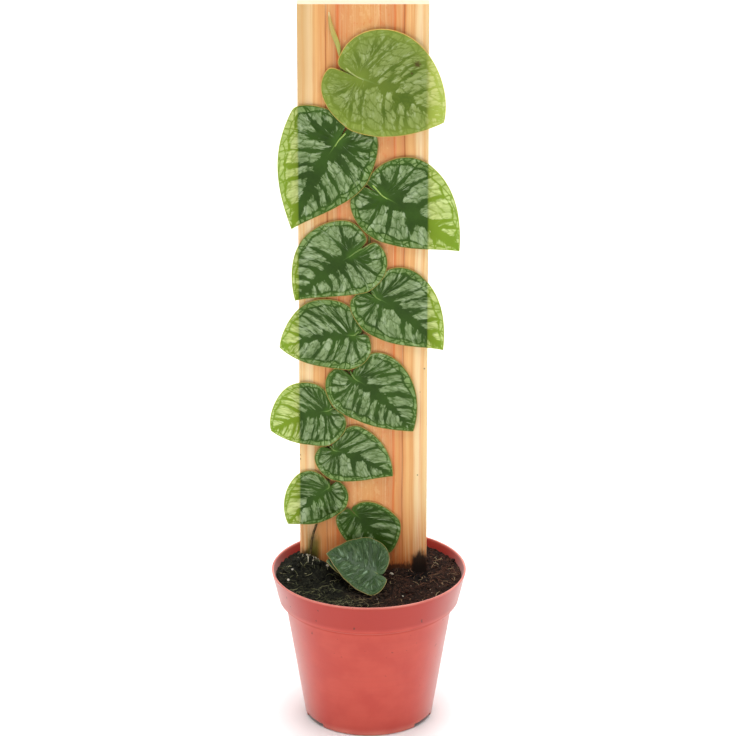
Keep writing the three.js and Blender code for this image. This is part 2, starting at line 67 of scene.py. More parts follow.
QUARTER = 0.5523  # reach of the handles that make a cubic curve a quarter ellipse
FROM_BOARD = (0, 1, 0)
SIDEWAYS = (1, 0, 0)

Array = np.ndarray
Maps = dict[str, Array]
Pair = tuple[float, float]
Triple = tuple[float, float, float]
Row = tuple[float, ...]
Socket = bpy.types.NodeSocket
Material = bpy.types.Material
Piece = bpy.types.Object
RGB = tuple[int, int, int]


def ease(value: Array) -> Array:
    """Eases 0..1 with level ends: 3v² - 2v³ of the value held between 0 and 1."""
    v = np.clip(value, 0.0, 1.0)
    return v * v * (3.0 - 2.0 * v)


def tint(rgb: RGB) -> tuple[float, ...]:
    """A screen colour as linear red, green and blue, with an alpha of 1.

    Args:
        rgb: the colour, 0 to 255.

    Returns:
        What a colour socket takes.
    """
    screen = np.array(rgb) / 255.0
    linear = np.where(screen <= 0.04045, screen / 12.92, ((screen + 0.055) / 1.055) ** 2.4)
    return (*linear.tolist(), 1.0)


def unit(vectors: Array) -> Array:
    """The vectors, each divided by its length."""
    return vectors / np.linalg.norm(vectors, axis=-1, keepdims=True)


def run_along(line: Array) -> Array:
    """The length of a line of points up to each of them."""
    return np.concatenate([[0.0], np.cumsum(np.linalg.norm(np.diff(line, axis=0), axis=1))])


def angles(count: int) -> Array:
    """count even angles round a full turn."""
    return np.linspace(0.0, 2 * np.pi, count, endpoint=False)


def turned(profile: Array, segments: int) -> Array:
    """A grid of rings, one for each radius and height of a profile that turns about the z axis."""
    angle, radius = angles(segments), profile[:, :1]
    return np.stack(np.broadcast_arrays(radius * np.cos(angle), radius * np.sin(angle), profile[:, 1:]), -1)


class LatticeNoise:
    """Smooth seeded noise on a plane: random values at whole numbers, blended by eased shares."""

    def __init__(self, seed: int, cells: int = 97) -> None:
        """Draws a lattice of cells by cells values from a seed; the noise repeats after it."""
        self.cells = cells
        self.values = np.random.default_rng(seed).random((cells, cells)) * 2.0 - 1.0

    def at(self, x: Array, y: Array) -> Array:
        """Noise of -1..1 with one feature for each unit.

        Args:
            x: places.
            y: places.

        Returns:
            The noise there.
        """
        x0, y0 = np.floor(x).astype(int), np.floor(y).astype(int)
        u, v = ease(x - x0), ease(y - y0)
        i, j = x0 % self.cells, y0 % self.cells
        i1, j1 = (i + 1) % self.cells, (j + 1) % self.cells
        low = self.values[i, j] * (1 - u) + self.values[i1, j] * u
        high = self.values[i, j1] * (1 - u) + self.values[i1, j1] * u
        return low * (1 - v) + high * v

    def layers(self, x: Array, y: Array, count: int) -> Array:
        """A sum of layers, each with half the last one's height and twice its frequency.

        Args:
            x: places.
            y: places.
            count: layers.

        Returns:
            The sum there.
        """
        total = np.zeros_like(np.asarray(x, float))
        aside, up = LAYER_SHIFT
        for layer in range(count):
            total += 0.5**layer * self.at(x * 2**layer + aside * layer, y * 2**layer + up * layer)
        return total


@dataclass
class Surface:
    """Points and faces of a piece, in millimetres.

    faces holds four point numbers a row. finish is the material number of each face, and maps
    holds values per point, two each, that become UV maps.
    """

    points: Array
    faces: Array
    finish: Array
    maps: Maps = field(default_factory=dict)

    @staticmethod
    def joined(parts: Sequence["Surface"]) -> "Surface":
        """Several surfaces as one; a map that a part lacks is filled with zeros.

        Args:
            parts: the surfaces.

        Returns:
            One surface that holds them all.
        """
        starts = np.cumsum([0] + [len(part.points) for part in parts[:-1]])
        names = sorted({name for part in parts for name in part.maps})
        maps = {name: np.concatenate([part.maps.get(name, np.zeros((len(part.points), 2))) for part in parts])
                for name in names}
        faces = np.concatenate([part.faces + start for part, start in zip(parts, starts)])
        points = np.concatenate([part.points for part in parts])
        finish = np.concatenate([part.finish for part in parts])
        return Surface(points, faces, finish, maps)

    def build(self, name: str, *materials: Material) -> Piece:
        """Makes the Blender object, with doubled points merged and its faces turned outwards.

        Args:
            name: the object's name.
            materials: its materials, in the order that finish counts them.

        Returns:
            The object, in the scene.
        """
        mesh = bpy.data.meshes.new(name)
        mesh.from_pydata(self.points * MM, [], self.faces.tolist())
        mesh.polygons.foreach_set("material_index", self.finish.astype(np.int32))
        corners = np.zeros(len(mesh.loops), np.int32)
        mesh.loops.foreach_get("vertex_index", corners)
        for map_name, values in self.maps.items():
            layer = mesh.uv_layers.new(name=map_name)
            layer.data.foreach_set("uv", values[corners].astype(np.float32).ravel())
        shell = bmesh.new()
        shell.from_mesh(mesh)
        bmesh.ops.remove_doubles(shell, verts=shell.verts, dist=WELD)
        bmesh.ops.dissolve_degenerate(shell, edges=shell.edges, dist=SLIVER)
        bmesh.ops.recalc_face_normals(shell, faces=shell.faces)
        shell.to_mesh(mesh)
        shell.free()
        shade_smooth(mesh)
        for material in materials:
            mesh.materials.append(material)
        made = bpy.data.objects.new(name, mesh)
        bpy.context.scene.collection.objects.link(made)
        return made


def shade_smooth(mesh: bpy.types.Mesh) -> None:
    """Shades a mesh smooth except across its sharp edges."""
    mesh.polygons.foreach_set("use_smooth", np.ones(len(mesh.polygons), bool))
    mesh.set_sharp_from_angle(angle=SHARP_ANGLE)


def grid_faces(rows: int, columns: int, closed: bool = False, copies: int = 1) -> Array:
    """Faces of one or more grids of points that are numbered row by row, grid after grid.

    Args:
        rows: rows of points.
        columns: points in a row.
        closed: True where the last column joins the first one.
        copies: how many such grids follow each other.

    Returns:
        Four point numbers for each face.
    """
    across = np.arange(columns if closed else columns - 1)
    row, column = np.meshgrid(np.arange(rows - 1), across, indexing="ij")
    following = (column + 1) % columns
    corners = [row * columns + column, row * columns + following,
               (row + 1) * columns + following, (row + 1) * columns + column]
    starts = (np.arange(copies) * rows * columns)[:, None, None]
    return (np.stack(corners, -1).reshape(1, -1, 4) + starts).reshape(-1, 4)


def sheet(points: Array, finish: int = 0, closed: bool = False, maps: Optional[Maps] = None) -> Surface:
    """A grid of points, rows by columns by 3, as a surface.

    Args:
        points: the grid.
        finish: material number.
        closed: True where each row is a ring.
        maps: values per grid point, rows by columns by 2.

    Returns:
        The surface.
    """
    faces = grid_faces(*points.shape[:2], closed)
    flat = {name: values.reshape(-1, 2) for name, values in (maps or {}).items()}
    return Surface(points.reshape(-1, 3), faces, np.full(len(faces), finish), flat)


def smooth_path(points: Array, count: int) -> Array:
    """A smooth line through points: between two points a cubic whose slopes are those of the
    chords across each point, with every stretch's share of the line set by its chord.

    Args:
        points: the points to pass through.
        count: points wanted.

    Returns:
        count points, evenly spaced in chord length.
    """
    chord, knots = np.linalg.norm(np.diff(points, axis=0), axis=1), run_along(points)
    slopes = np.gradient(points, knots, axis=0)
    places = np.linspace(0.0, knots[-1], count)
    k = np.clip(np.searchsorted(knots, places, side="right") - 1, 0, len(chord) - 1)
    u = ((places - knots[k]) / chord[k])[:, None]
    width = chord[k][:, None]
    near = (2 * u**3 - 3 * u**2 + 1) * points[k] + (u**3 - 2 * u**2 + u) * slopes[k] * width
    return near + (3 * u**2 - 2 * u**3) * points[k + 1] + (u**3 - u**2) * slopes[k + 1] * width


def tube(path: Array, radii: Array, sides: int, across: Sequence[float], finish: int = 0) -> Surface:
    """A round bar along a path, each ring square to it and both ends drawn in to a point.

    Args:
        path: centre points.
        radii: radius at each point.
        sides: points in a ring.
        across: a direction that the path never runs along.
        finish: material number.

    Returns:
        The closed surface, with a map "bark" of the length along it and the share of a turn round it.
    """
    forward = unit(np.gradient(path, axis=0))
    right = unit(np.cross(forward, np.array(across, float)))
    up = np.cross(right, forward)
    angle = angles(sides)
    ring = np.cos(angle)[None, :, None] * right[:, None] + np.sin(angle)[None, :, None] * up[:, None]
    rings = path[:, None] + ring * radii[:, None, None]
    ends = [np.repeat(path[None, i : i + 1], sides, axis=1) + s * radii[i] * END_REACH * forward[i]
            for i, s in ((0, -1.0), (len(path) - 1, 1.0))]
    length = run_along(path)
    along = np.concatenate([[0.0], length, [length[-1]]])
    bark = np.stack(np.broadcast_arrays(along[:, None], (angle / (2 * np.pi))[None, :]), -1)
    return sheet(np.concatenate([ends[0], rings, ends[1]]), finish, closed=True, maps={"bark": bark})


def distance_to_line(points: Array, line: Array) -> Array:
    """Shortest distance from each point to a line of points, over all its segments at once.

    Args:
        points: points, n by 2.
        line: the line's points, m by 2.

    Returns:
        n distances.
    """
    start, run = line[:-1], np.diff(line, axis=0)
    to = points[:, None] - start[None]
    share = np.clip((to * run).sum(-1) / ((run * run).sum(-1) + TINY), 0.0, 1.0)
    return np.linalg.norm(to - share[..., None] * run, axis=-1).min(1)


def inside(points: Array, ring: Array) -> Array:
    """Finds the points inside a ring: those with an odd count of its crossings to one side.

    Args:
        points: points, n by 2.
        ring: the ring's points, the first one repeated at its end.

    Returns:
        True for each point inside.
    """
    (x, z), start, end = points.T[:, :, None], ring[:-1], ring[1:]
    rise = np.where(start[:, 1] == end[:, 1], TINY, end[:, 1] - start[:, 1])
    crosses = (start[:, 1] > z) != (end[:, 1] > z)
    left_of = x < start[:, 0] + (end[:, 0] - start[:, 0]) * (z - start[:, 1]) / rise
    return (crosses & left_of).sum(1) % 2 == 1


class Value:
    """What a shader node puts out. Each sum on it adds a node to the same tree."""

    def __init__(self, graph: "Graph", socket: Socket) -> None:
        """Keeps the graph and the socket."""
        self.graph = graph
        self.socket = socket

    def math(self, operation: str, other: "Feed" = 0.0) -> "Value":
        """One sum of this number and another one."""
        return self.graph.value("ShaderNodeMath", self, other, operation=operation)

    def __add__(self, other: "Feed") -> "Value":
        """This number plus another one."""
        return self.math("ADD", other)

    def __sub__(self, other: "Feed") -> "Value":
        """This number less another one."""
        return self.math("SUBTRACT", other)

    def __rsub__(self, other: float) -> "Value":
        """A plain number less this one."""
        return self.graph.value("ShaderNodeMath", other, self, operation="SUBTRACT")

    def __mul__(self, other: "Feed") -> "Value":
        """This number times another one."""
        return self.math("MULTIPLY", other)

    def least(self, other: "Feed") -> "Value":
        """The smaller of two numbers."""
        return self.math("MINIMUM", other)

    def most(self, other: "Feed") -> "Value":
        """The larger of two numbers."""
        return self.math("MAXIMUM", other)

    def wave(self, size: float) -> "Value":
        """Noise of 0..1 as a swing about 0 that is size from end to end."""
        return (self - 0.5) * size

    def span(self, low: "Feed", high: "Feed", start: float = 0.0, end: float = 1.0) -> "Value":
        """Eases from start, where this number is low, to end, where it is high."""
        return self.graph.value("ShaderNodeMapRange", self, low, high, start, end,
                                interpolation_type="SMOOTHSTEP")

    def slope(self, low: "Feed", high: "Feed", start: float = 0.0, end: float = 1.0) -> "Value":
        """Runs straight from start, where this number is low, to end, where it is high, and stays there."""
        return self.graph.value("ShaderNodeMapRange", self, low, high, start, end, clamp=True)


Feed = Union[Value, float, Sequence[float]]
Colour = Union[Value, RGB]


class Graph:
    """A shader node tree that is built by short calls. Each call returns the value that it makes."""

    def __init__(self, tree: bpy.types.NodeTree) -> None:
        """Starts on an empty tree."""
        self.tree = tree

    def node(self, kind: str, **settings: object) -> bpy.types.Node:
        """A new node.

        Args:
            kind: its type.
            settings: its properties by name.

        Returns:
            The node.
        """
        made = self.tree.nodes.new(kind)
        for name, value in settings.items():
            setattr(made, name, value)
        return made

    def feed(self, sockets: Iterable[Socket], values: Iterable[Feed]) -> None:
        """Links each socket to its value, or sets the socket's own number or colour.

        Args:
            sockets: the sockets.
            values: a value for each, or for the first ones.
        """
        for socket, value in zip(sockets, values):
            if isinstance(value, Value):
                self.tree.links.new(value.socket, socket)
            else:
                socket.default_value = value

    def value(self, kind: str, *given: Feed, **settings: object) -> Value:
        """The first output of a new node.

        Args:
            kind: the node's type.
            given: what feeds its inputs, in their order.
            settings: its properties by name.

        Returns:
            The output.
        """
        made = self.node(kind, **settings)
        self.feed(made.inputs, given)
        return Value(self, made.outputs[0])

    def fed(self, made: bpy.types.Node, **given: Feed) -> Value:
        """Feeds a node's inputs by name, an underscore for each space, and gives its first output."""
        self.feed([made.inputs[name.replace("_", " ")] for name in given], given.values())
        return Value(self, made.outputs[0])

    def parts(self, vector: Socket) -> list[Value]:
        """Takes a vector apart.

        Args:
            vector: the socket that puts it out.

        Returns:
            Its three numbers.
        """
        made = self.node("ShaderNodeSeparateXYZ")
        self.feed(made.inputs, [Value(self, vector)])
        return [Value(self, output) for output in made.outputs]

    def place(self) -> list[Value]:
        """Object coordinates in millimetres, as x, y and z."""
        return [axis * (1 / MM) for axis in self.parts(self.node("ShaderNodeTexCoord").outputs["Object"])]

    def uv(self, name: str) -> list[Value]:
        """The two numbers of a named UV map."""
        return self.parts(self.node("ShaderNodeUVMap", uv_map=name).outputs[0])[:2]

    def away(self, a: Value, b: Value, centre: Sequence[float]) -> Value:
        """Distance from a centre: the root of the two coordinates' squared ways from it."""
        across, up = ((axis - middle).math("POWER", 2.0) for axis, middle in zip((a, b), centre))
        return (across + up).math("SQRT")

    def noise(self, at: Sequence[Feed], detail: float = 2.0, rough: float = 0.5, scale: float = 1.0) -> Value:
        """Noise of 0..1.

        Args:
            at: the two or three numbers at which it is read.
            detail: how many finer layers lie on it.
            rough: how strong each layer is beside the one before.
            scale: its features in a unit.

        Returns:
            The noise.
        """
        place = self.value("ShaderNodeCombineXYZ", *at)
        made = self.node("ShaderNodeTexNoise")
        return self.fed(made, Vector=place, Scale=scale, Detail=detail, Roughness=rough)

    def draw(self, number: Feed, seed: Feed) -> Value:
        """A random number of 0..1 that stays the same for one whole number and seed."""
        place = self.value("ShaderNodeCombineXYZ", number, seed)
        return self.fed(self.node("ShaderNodeTexWhiteNoise", noise_dimensions="2D"), Vector=place)

    def cell_walls(self, x: Feed, y: Feed) -> Value:
        """Distance from the walls between irregular cells of about one unit."""
        made = self.node("ShaderNodeTexVoronoi", feature="DISTANCE_TO_EDGE", voronoi_dimensions="2D")
        return self.fed(made, Vector=self.value("ShaderNodeCombineXYZ", x, y), Scale=1.0)

    def blend(self, share: Feed, a: Colour, b: Colour) -> Value:
        """One colour turned into another.

        Args:
            share: how far, 0 to 1.
            a: the first colour.
            b: the second colour.

        Returns:
            The mix.
        """
        made = self.node("ShaderNodeMix", data_type="RGBA")
        colours = [tint(colour) if isinstance(colour, tuple) else colour for colour in (a, b)]
        self.feed((made.inputs[0], made.inputs[6], made.inputs[7]), (share, *colours))
        return Value(self, made.outputs[2])

    def ramp(self, value: Value, stops: Sequence[tuple[float, RGB]]) -> Value:
        """A colour that runs through stops.

        Args:
            value: where to read it, 0 to 1.
            stops: place and colour of each stop.

        Returns:
            The colour.
        """
        made = self.node("ShaderNodeValToRGB")
        elements = made.color_ramp.elements
        for place, rgb in stops[1:-1]:
            elements.new(place).color = tint(rgb)
        for element, (place, rgb) in ((elements[0], stops[0]), (elements[len(elements) - 1], stops[-1])):
            element.position = place
            element.color = tint(rgb)
        self.feed(made.inputs, [value])
        return Value(self, made.outputs[0])

    def group(self, name: str, **given: Feed) -> dict[str, Value]:
        """A shared group, placed in this tree.

        Args:
            name: the group's name.
            given: what feeds its inputs, by name, with an underscore for each space.

        Returns:
            Its outputs by name.
        """
        made = self.node("ShaderNodeGroup", node_tree=bpy.data.node_groups[name])
        self.fed(made, **given)
        return {output.name: Value(self, output) for output in made.outputs}


class Dressing(Graph):
    """A new material: its Principled shader, its output, and the colour that its coats build up."""

    def __init__(self, name: str) -> None:
        """Makes the material, with its shader on its output.

        Args:
            name: its name.
        """
        self.material = bpy.data.materials.new(name)
        self.material.use_nodes = True
        self.material.node_tree.nodes.clear()
        super().__init__(self.material.node_tree)
        self.shader = self.node("ShaderNodeBsdfPrincipled")
        self.output = self.node("ShaderNodeOutputMaterial")
        self.feed(self.output.inputs, [Value(self, self.shader.outputs[0])])
        self.colour: Colour = (255, 255, 255)

    def coat(self, share: Feed, colour: Colour) -> None:
        """Lays a colour over the coats so far, by a share of 0 to 1."""
        self.colour = self.blend(share, self.colour, colour)

    def finished(self, height: Optional[Value] = None, depth: float = 0.0, **given: Feed) -> Material:
        """Feeds the shader its colour, its bump and its other inputs.

        Args:
            height: the bump's height, 0 to 1.
            depth: what a height of 1 stands for, in millimetres.
            given: the other inputs by name, with an underscore for each space.

        Returns:
            The material.
        """
        if height is not None:
            made = self.node("ShaderNodeBump")
            given["Normal"] = self.fed(made, Strength=1.0, Distance=depth * MM, Height=height)
        given.setdefault("Base_Color", self.colour)
        self.fed(self.shader, **given)
        return self.material


class SharedGroup(Graph):
    """A shader node group with named numbers in and out, built once for several materials."""

    def __init__(self, name: str, *inputs: str) -> None:
        """Makes the empty group with its inputs.

        Args:
            name: its name.
            inputs: the names of its inputs.
        """
        super().__init__(bpy.data.node_groups.new(name, "ShaderNodeTree"))
        for given in inputs:
            self.tree.interface.new_socket(given, in_out="INPUT", socket_type="NodeSocketFloat")
        self.given = [Value(self, output) for output in self.node("NodeGroupInput").outputs][: len(inputs)]

    def give(self, **results: Value) -> None:
        """Adds the group's outputs.

        Args:
            results: what each one puts out, by its name.
        """
        for name in results:
            self.tree.interface.new_socket(name, in_out="OUTPUT", socket_type="NodeSocketFloat")
        self.feed(self.node("NodeGroupOutput").inputs, results.values())


def build_vein_pattern() -> None:
    """Builds the group of the blade's pattern: dark bands on the midrib and on each lateral vein, a
    dark loop inside the margin, a row of light cells outside it, and brushed patches between the veins.

    Phase counts the lateral veins and Pitch is the millimetres between two. Outward and Along are
    shares of the way out and along, Rib and Edge the millimetres from midrib and margin, Size the
    blade's size beside a common one. Seed moves the noise, Band widens the veins, Brush tears the
    patches and Netting darkens the net of small veins. Each vein, and each field between two veins,
    draws its own strength, and some fields are split by one more vein. Patch is how much of the
    light tone shows, Outer is 1 outside the loop, Height is the relief and Strokes the brushing.
    """
    g = SharedGroup("vein_pattern", "Phase", "Outward", "Pitch", "Along", "Rib", "Edge", "Size", "Seed",
                    "Band", "Brush", "Netting")
    counted, outward, pitch, along, rib, edge, size, seed, band, brush, netting = g.given
    across = counted * 6.0
    strokes = g.noise((across * 0.6, rib * 0.12, seed), 3.0, 0.62)
    bristle = g.noise((across * 2.0, rib * 0.3, seed + 11.0), 3.0)
    wander = g.noise((across * 0.15, rib * 0.12, seed + 3.0))
    ragged = (strokes.wave(5.0) + bristle.wave(3.2)) * brush
    ragged = ragged * (pitch.slope(1.0, 7.0, 0.2, 1.0) * outward.slope(0.3, 0.8, 1.0, 0.5))

    phase = counted + wander.wave(0.36)
    from_line = phase.math("PINGPONG", 0.5)
    between = phase.math("FLOOR")
    strength = g.draw(phase.math("ROUND"), seed).slope(0.0, 1.0, 0.55, 1.25)
    begins = along.slope(0.3, 0.6, 0.2, 0.02) * g.draw(between, seed + 7.0).slope(0.0, 1.0, 0.6, 1.5) * band
    opened = outward.slope(begins, begins + 0.15)
    is_split = g.draw(between, seed + 5.0).span(0.4, 0.5)
    closed = (1.0 - opened) * is_split.slope(0.0, 1.0, 0.55, 0.3)

    width = (strength * (size * band) * outward.slope(0.1, 0.7, 1.2, 0.22)).least(pitch * 0.16 * band)
    from_vein = (from_line - closed) * pitch - width * opened
    middle = g.draw(between, seed + 9.0).wave(0.3) + 0.5
    from_split = (phase.math("FRACT") - middle).math("ABSOLUTE") - closed
    from_split = (from_split + is_split.slope(0.0, 1.0, 0.5, -0.05)) * pitch
    from_rib = rib + size * -1.3 * band

    belly = along.slope(0.1, 0.45) * along.slope(1.0, 0.62)
    loop_at = (belly.slope(0.0, 1.0, 2.6, 5.4) + (from_line * -3.4 + wander.wave(3.0))) * size
    past_loop = edge - loop_at
    loop_width = size * wander.slope(0.35, 0.6, -0.1, 0.4)
    inner = from_vein.least(from_split).least(from_rib).least(past_loop - loop_width)
    walls = g.cell_walls(across * 0.5 + bristle.wave(1.4), rib * 0.17 + seed)
    net = walls.span(0.02, 0.14, 1.0, 0.0) * netting
    inner_patch = (inner + ragged).span(-0.2, 1.3) * (1.0 - net)

    from_margin = edge + wander.slope(0.3, 0.7, -0.25, -0.6)
    outer = from_margin.least(past_loop * -1.0 - loop_width)
    rim_walls = g.cell_walls(across * 0.36 + bristle.wave(0.5), edge * 0.24 + seed)
    rim_net = rim_walls.span(0.03, 0.14, 1.0, 0.0) * 0.8
    outer_patch = (outer + ragged * 0.2).span(-0.2, 0.5) * (1.0 - rim_net)
    outer_patch = outer_patch * (along.span(0.07, 0.2) * outward.span(0.3, 0.55))
    outer_patch = outer_patch * g.draw((phase * 3.0).math("FLOOR"), seed).slope(0.0, 1.0, 0.6, 1.05)

    lines = (from_line * pitch).span(0.2, 0.6, 1.0, 0.0)
    lines = lines.most(past_loop.math("ABSOLUTE").span(0.15, 0.6, 0.7, 0.0))
    wisps = strokes.span(0.5, 0.66, 0.0, 0.5) * bristle.span(0.42, 0.58, 0.2, 1.0)
    wisps = wisps * (from_rib.span(-0.6, 1.2) * outward.span(0.08, 0.25))
    patch = (inner_patch.most(outer_patch) * (1.0 - lines * 0.8)).most(wisps)
    mottle = (strokes + bristle * 0.8).slope(0.7, 1.1, 0.5, 1.05)
    g.give(Patch=patch * mottle, Outer=past_loop.span(0.4, -0.4), Height=patch * 0.8 + bristle * 0.3,
           Strokes=strokes)


def build_fine_grain() -> None:
    """Builds the group of even fine noise in object space, for moulded and grown skins: Grain has
    Per mm grains in a millimetre, Cloud one in 20 mm, and Seed moves both."""
    g = SharedGroup("fine_grain", "Per mm", "Seed")
    per_mm, seed = g.given
    x, y, z = g.place()
    grain = g.noise((x * per_mm + seed, y * per_mm, z * per_mm), 3.0, 0.6)
    g.give(Grain=grain, Cloud=g.noise((x * 0.05 + seed, y * 0.05, z * 0.05), 3.0))


@dataclass(frozen=True)
class LeafFinish:
    """How a blade looks.

    base is the deep green of the veins and base_edge its lighter kind, silver and pale are the
    patches inside and outside the vein loop, and glow_base and glow_silver what shows of the two when
    light comes through from behind. band widens the dark bands, brush tears the patches, netting
    darkens the net of small veins, and contrast and patch_from say how strongly and from where on a
    patch shows. relief is the depth of the bump. through is the share of light that passes beyond
    the board, and glow_blur how far inside the board's edge it starts. flecks, fleck_and_glint_from and
    fleck_and_glint_tone are the pale strokes on the patches: mottling, and on the glossy leaves painted
    highlight streaks as well. rib_reach is the share of the blade at which the
    light midrib line ends, rib_width its half width, and edge_reach how far in the lighter green
    goes. blemishes are the x, z and radius of brown spots.
    """

    base: RGB
    base_edge: RGB
    silver: RGB
    pale: RGB
    margin: RGB
    midrib: RGB
    underside: RGB
    glow_base: RGB
    glow_silver: RGB
    petiole: RGB = (162, 192, 96)
    band: float = 1.0
    brush: float = 1.1
    netting: float = 0.55
    roughness: float = 0.5
    specular: float = 0.22
    relief: float = 0.16
    contrast: float = 1.0
    patch_from: float = 0.0
    through: float = 0.6
    glow_blur: float = 1.0
    flecks: float = 0.5
    fleck_and_glint_from: float = 0.54
    fleck_and_glint_tone: RGB = (178, 194, 160)
    rib_reach: float = 0.64
    rib_width: float = 0.45
    edge_reach: float = 7.0
    blemishes: tuple[Triple, ...] = ()

    def dress(self, leaf: "Leaf") -> tuple[Material, Material, Material]:
        """The materials of a leaf: upper side, underside and petiole."""
        return self.upper(leaf), self.lower(leaf), self.stalk(leaf)

    def lit_through(self, g: Dressing, glow: Feed) -> None:
        """Lets light pass the blade where no wood lies behind it, tinted once on its way: the face
        that is seen mixes in the tint, and the one behind it lets all light through.

        Args:
            g: the material.
            glow: colour of the light that comes through.
        """
        x = g.place()[0]
        low, high = (corner.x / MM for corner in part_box("board"))
        past_board = x.span(high - self.glow_blur, high + 0.4).most(x.span(low + self.glow_blur, low - 0.4))
        skin = Value(g, g.shader.outputs[0])
        tinted = g.value("ShaderNodeBsdfTranslucent", glow)
        clear = g.value("ShaderNodeBsdfTranslucent", (1.0, 1.0, 1.0, 1.0))
        front = g.value("ShaderNodeMixShader", past_board * self.through, skin, tinted)
        behind = Value(g, g.node("ShaderNodeNewGeometry").outputs["Backfacing"])
        g.feed(g.output.inputs, [g.value("ShaderNodeMixShader", behind, front, clear)])

    def upper(self, leaf: "Leaf") -> Material:
        """The patterned upper side: green, silver patches, flecks that on the glossy leaves are partly
        painted highlight streaks, midrib, margin and blemishes.

        Args:
            leaf: the leaf.

        Returns:
            The material.
        """
        g = Dressing(f"{leaf.name}_upper")
        size = leaf.length / COMMON_LENGTH
        (phase, outward), (rib, edge), (pitch, along) = (g.uv(name) for name in ("veins", "reach", "gauge"))
        pattern = g.group("vein_pattern", Phase=phase, Outward=outward, Pitch=pitch, Along=along, Rib=rib,
                          Edge=edge, Size=size, Seed=leaf.seed, Band=self.band * leaf.veining,
                          Brush=self.brush, Netting=self.netting)
        grain = g.group("fine_grain", Per_mm=0.7, Seed=leaf.seed)
        patch = pattern["Patch"] * self.contrast
        clouds = grain["Cloud"].span(0.35, 0.65)
        near_edge = edge.span(0.5, self.edge_reach * size, 1.0, 0.0)
        silver = g.blend(pattern["Outer"].most(near_edge * 0.6), self.silver, self.pale)
        silver = g.blend(clouds * 0.25, silver, self.pale)
        g.colour = g.blend(near_edge.most(clouds * 0.5), self.base, self.base_edge)
        g.coat(patch.span(0.0, 0.45, 0.0, 0.6), self.base_edge)
        g.coat(patch.slope(self.patch_from, 1.0), silver)
        # pale strokes on the patches: mottling, and on the glossy leaves painted highlight streaks as well
        fleck_and_glint = pattern["Strokes"].span(self.fleck_and_glint_from, self.fleck_and_glint_from + 0.13) * pattern["Patch"]
        g.coat(fleck_and_glint * self.flecks, self.fleck_and_glint_tone)
        g.coat(grain["Grain"].span(0.42, 0.62) * 0.16, self.base_edge)
        rib_line = rib.span(0.1, self.rib_width, 1.0, 0.0) * along.span(0.47, self.rib_reach, 0.8, 0.0)
        g.coat(rib_line * along.span(0.4, 0.47), self.midrib)
        rim = edge.span(0.1, 0.4, 1.0, 0.0) * along.span(0.06, 0.14)
        g.coat(rim, self.margin)
        x, _, z = g.place()
        for *centre, radius in self.blemishes:
            torn = g.away(x, z, centre) + g.noise((x, z), 3.0, scale=0.8).wave(4.5)
            g.coat(torn.span(radius, radius * 0.3, 0.0, 0.85), (78, 56, 18))
        self.lit_through(g, g.blend(patch.most(rim), self.glow_base, self.glow_silver))
        roughness = patch.span(0.0, 1.0, self.roughness - 0.06, self.roughness + 0.05)
        return g.finished(pattern["Height"], self.relief, Roughness=roughness,
                          Specular_IOR_Level=self.specular)

    def lower(self, leaf: "Leaf") -> Material:
        """The paler, matt underside with its raised veins.

        Args:
            leaf: the leaf.

        Returns:
            The material.
        """
        g = Dressing(f"{leaf.name}_underside")
        (phase, outward), (rib, _), (pitch, _) = (g.uv(name) for name in ("veins", "reach", "gauge"))
        grain = g.group("fine_grain", Per_mm=1.1, Seed=5.0)
        veins = (phase.math("PINGPONG", 0.5) * pitch).span(0.15, 0.6, 1.0, 0.0)
        veins = veins.most(rib.span(0.4, 1.1, 1.0, 0.0)) * outward.slope(0.2, 1.0, 0.8, 0.15)
        g.colour = g.blend(grain["Cloud"].span(0.3, 0.7), self.underside, self.base_edge)
        g.coat(veins, self.pale)
        self.lit_through(g, tint(self.glow_silver))
        return g.finished(veins + grain["Grain"] * 0.3, 0.25, Roughness=0.62, Specular_IOR_Level=0.2)

    def stalk(self, leaf: "Leaf") -> Material:
        """The petiole, light green with darker lines along it.

        Args:
            leaf: the leaf.

        Returns:
            The material.
        """
        g = Dressing(f"{leaf.name}_petiole")
        run, turn = g.uv("bark")
        lines = g.noise((run * 0.25, turn * 9.0), 3.0)
        g.colour = g.blend(lines.span(0.5, 0.75, 0.0, 0.6), self.petiole, self.base_edge)
        return g.finished(lines, 0.12, Roughness=0.45, Specular_IOR_Level=0.3)


SILVERED = LeafFinish((42, 67, 16), (62, 96, 26), (150, 170, 124), (148, 174, 108), margin=(168, 146, 74),
                      midrib=(126, 166, 74), underside=(120, 150, 92), glow_base=(146, 180, 54),
                      glow_silver=(230, 244, 158), specular=0.14, patch_from=0.18)
AGED = replace(SILVERED, petiole=(112, 142, 68), midrib=(98, 134, 62), patch_from=0.06)
SHADED = replace(AGED, petiole=(106, 96, 48), contrast=0.7, brush=1.6)
YOUNG = LeafFinish((78, 101, 24), (118, 138, 48), (156, 171, 106), (152, 170, 82), margin=(214, 180, 92),
                   midrib=(138, 162, 84), underside=(160, 182, 110), glow_base=(188, 210, 96),
                   glow_silver=(240, 246, 170), petiole=(176, 186, 112), band=0.75, brush=2.0, netting=0.8,
                   roughness=0.46, specular=0.16, contrast=0.82, glow_blur=2.6, flecks=0.35,
                   fleck_and_glint_tone=(186, 198, 150), rib_reach=0.68, rib_width=0.8, edge_reach=15.0,
                   blemishes=((28.5, 419.8, 2.7), (25.2, 414.0, 1.0)))
# the free leaves: faint silver patches and pale flecks, partly their own pattern and partly painted highlight
# streaks of a glossy face
GLOSSY = LeafFinish((38, 62, 30), (52, 80, 38), (98, 122, 84), (84, 110, 66), margin=(142, 128, 74),
                    midrib=(70, 98, 52), underside=(120, 146, 96), glow_base=(60, 90, 6),
                    glow_silver=(90, 120, 40), petiole=(96, 118, 60), band=1.4, brush=2.8, netting=0.3,
                    roughness=0.42, specular=0.2, relief=0.42, contrast=0.36, through=0.1,
                    fleck_and_glint_from=0.57, fleck_and_glint_tone=(146, 172, 146))


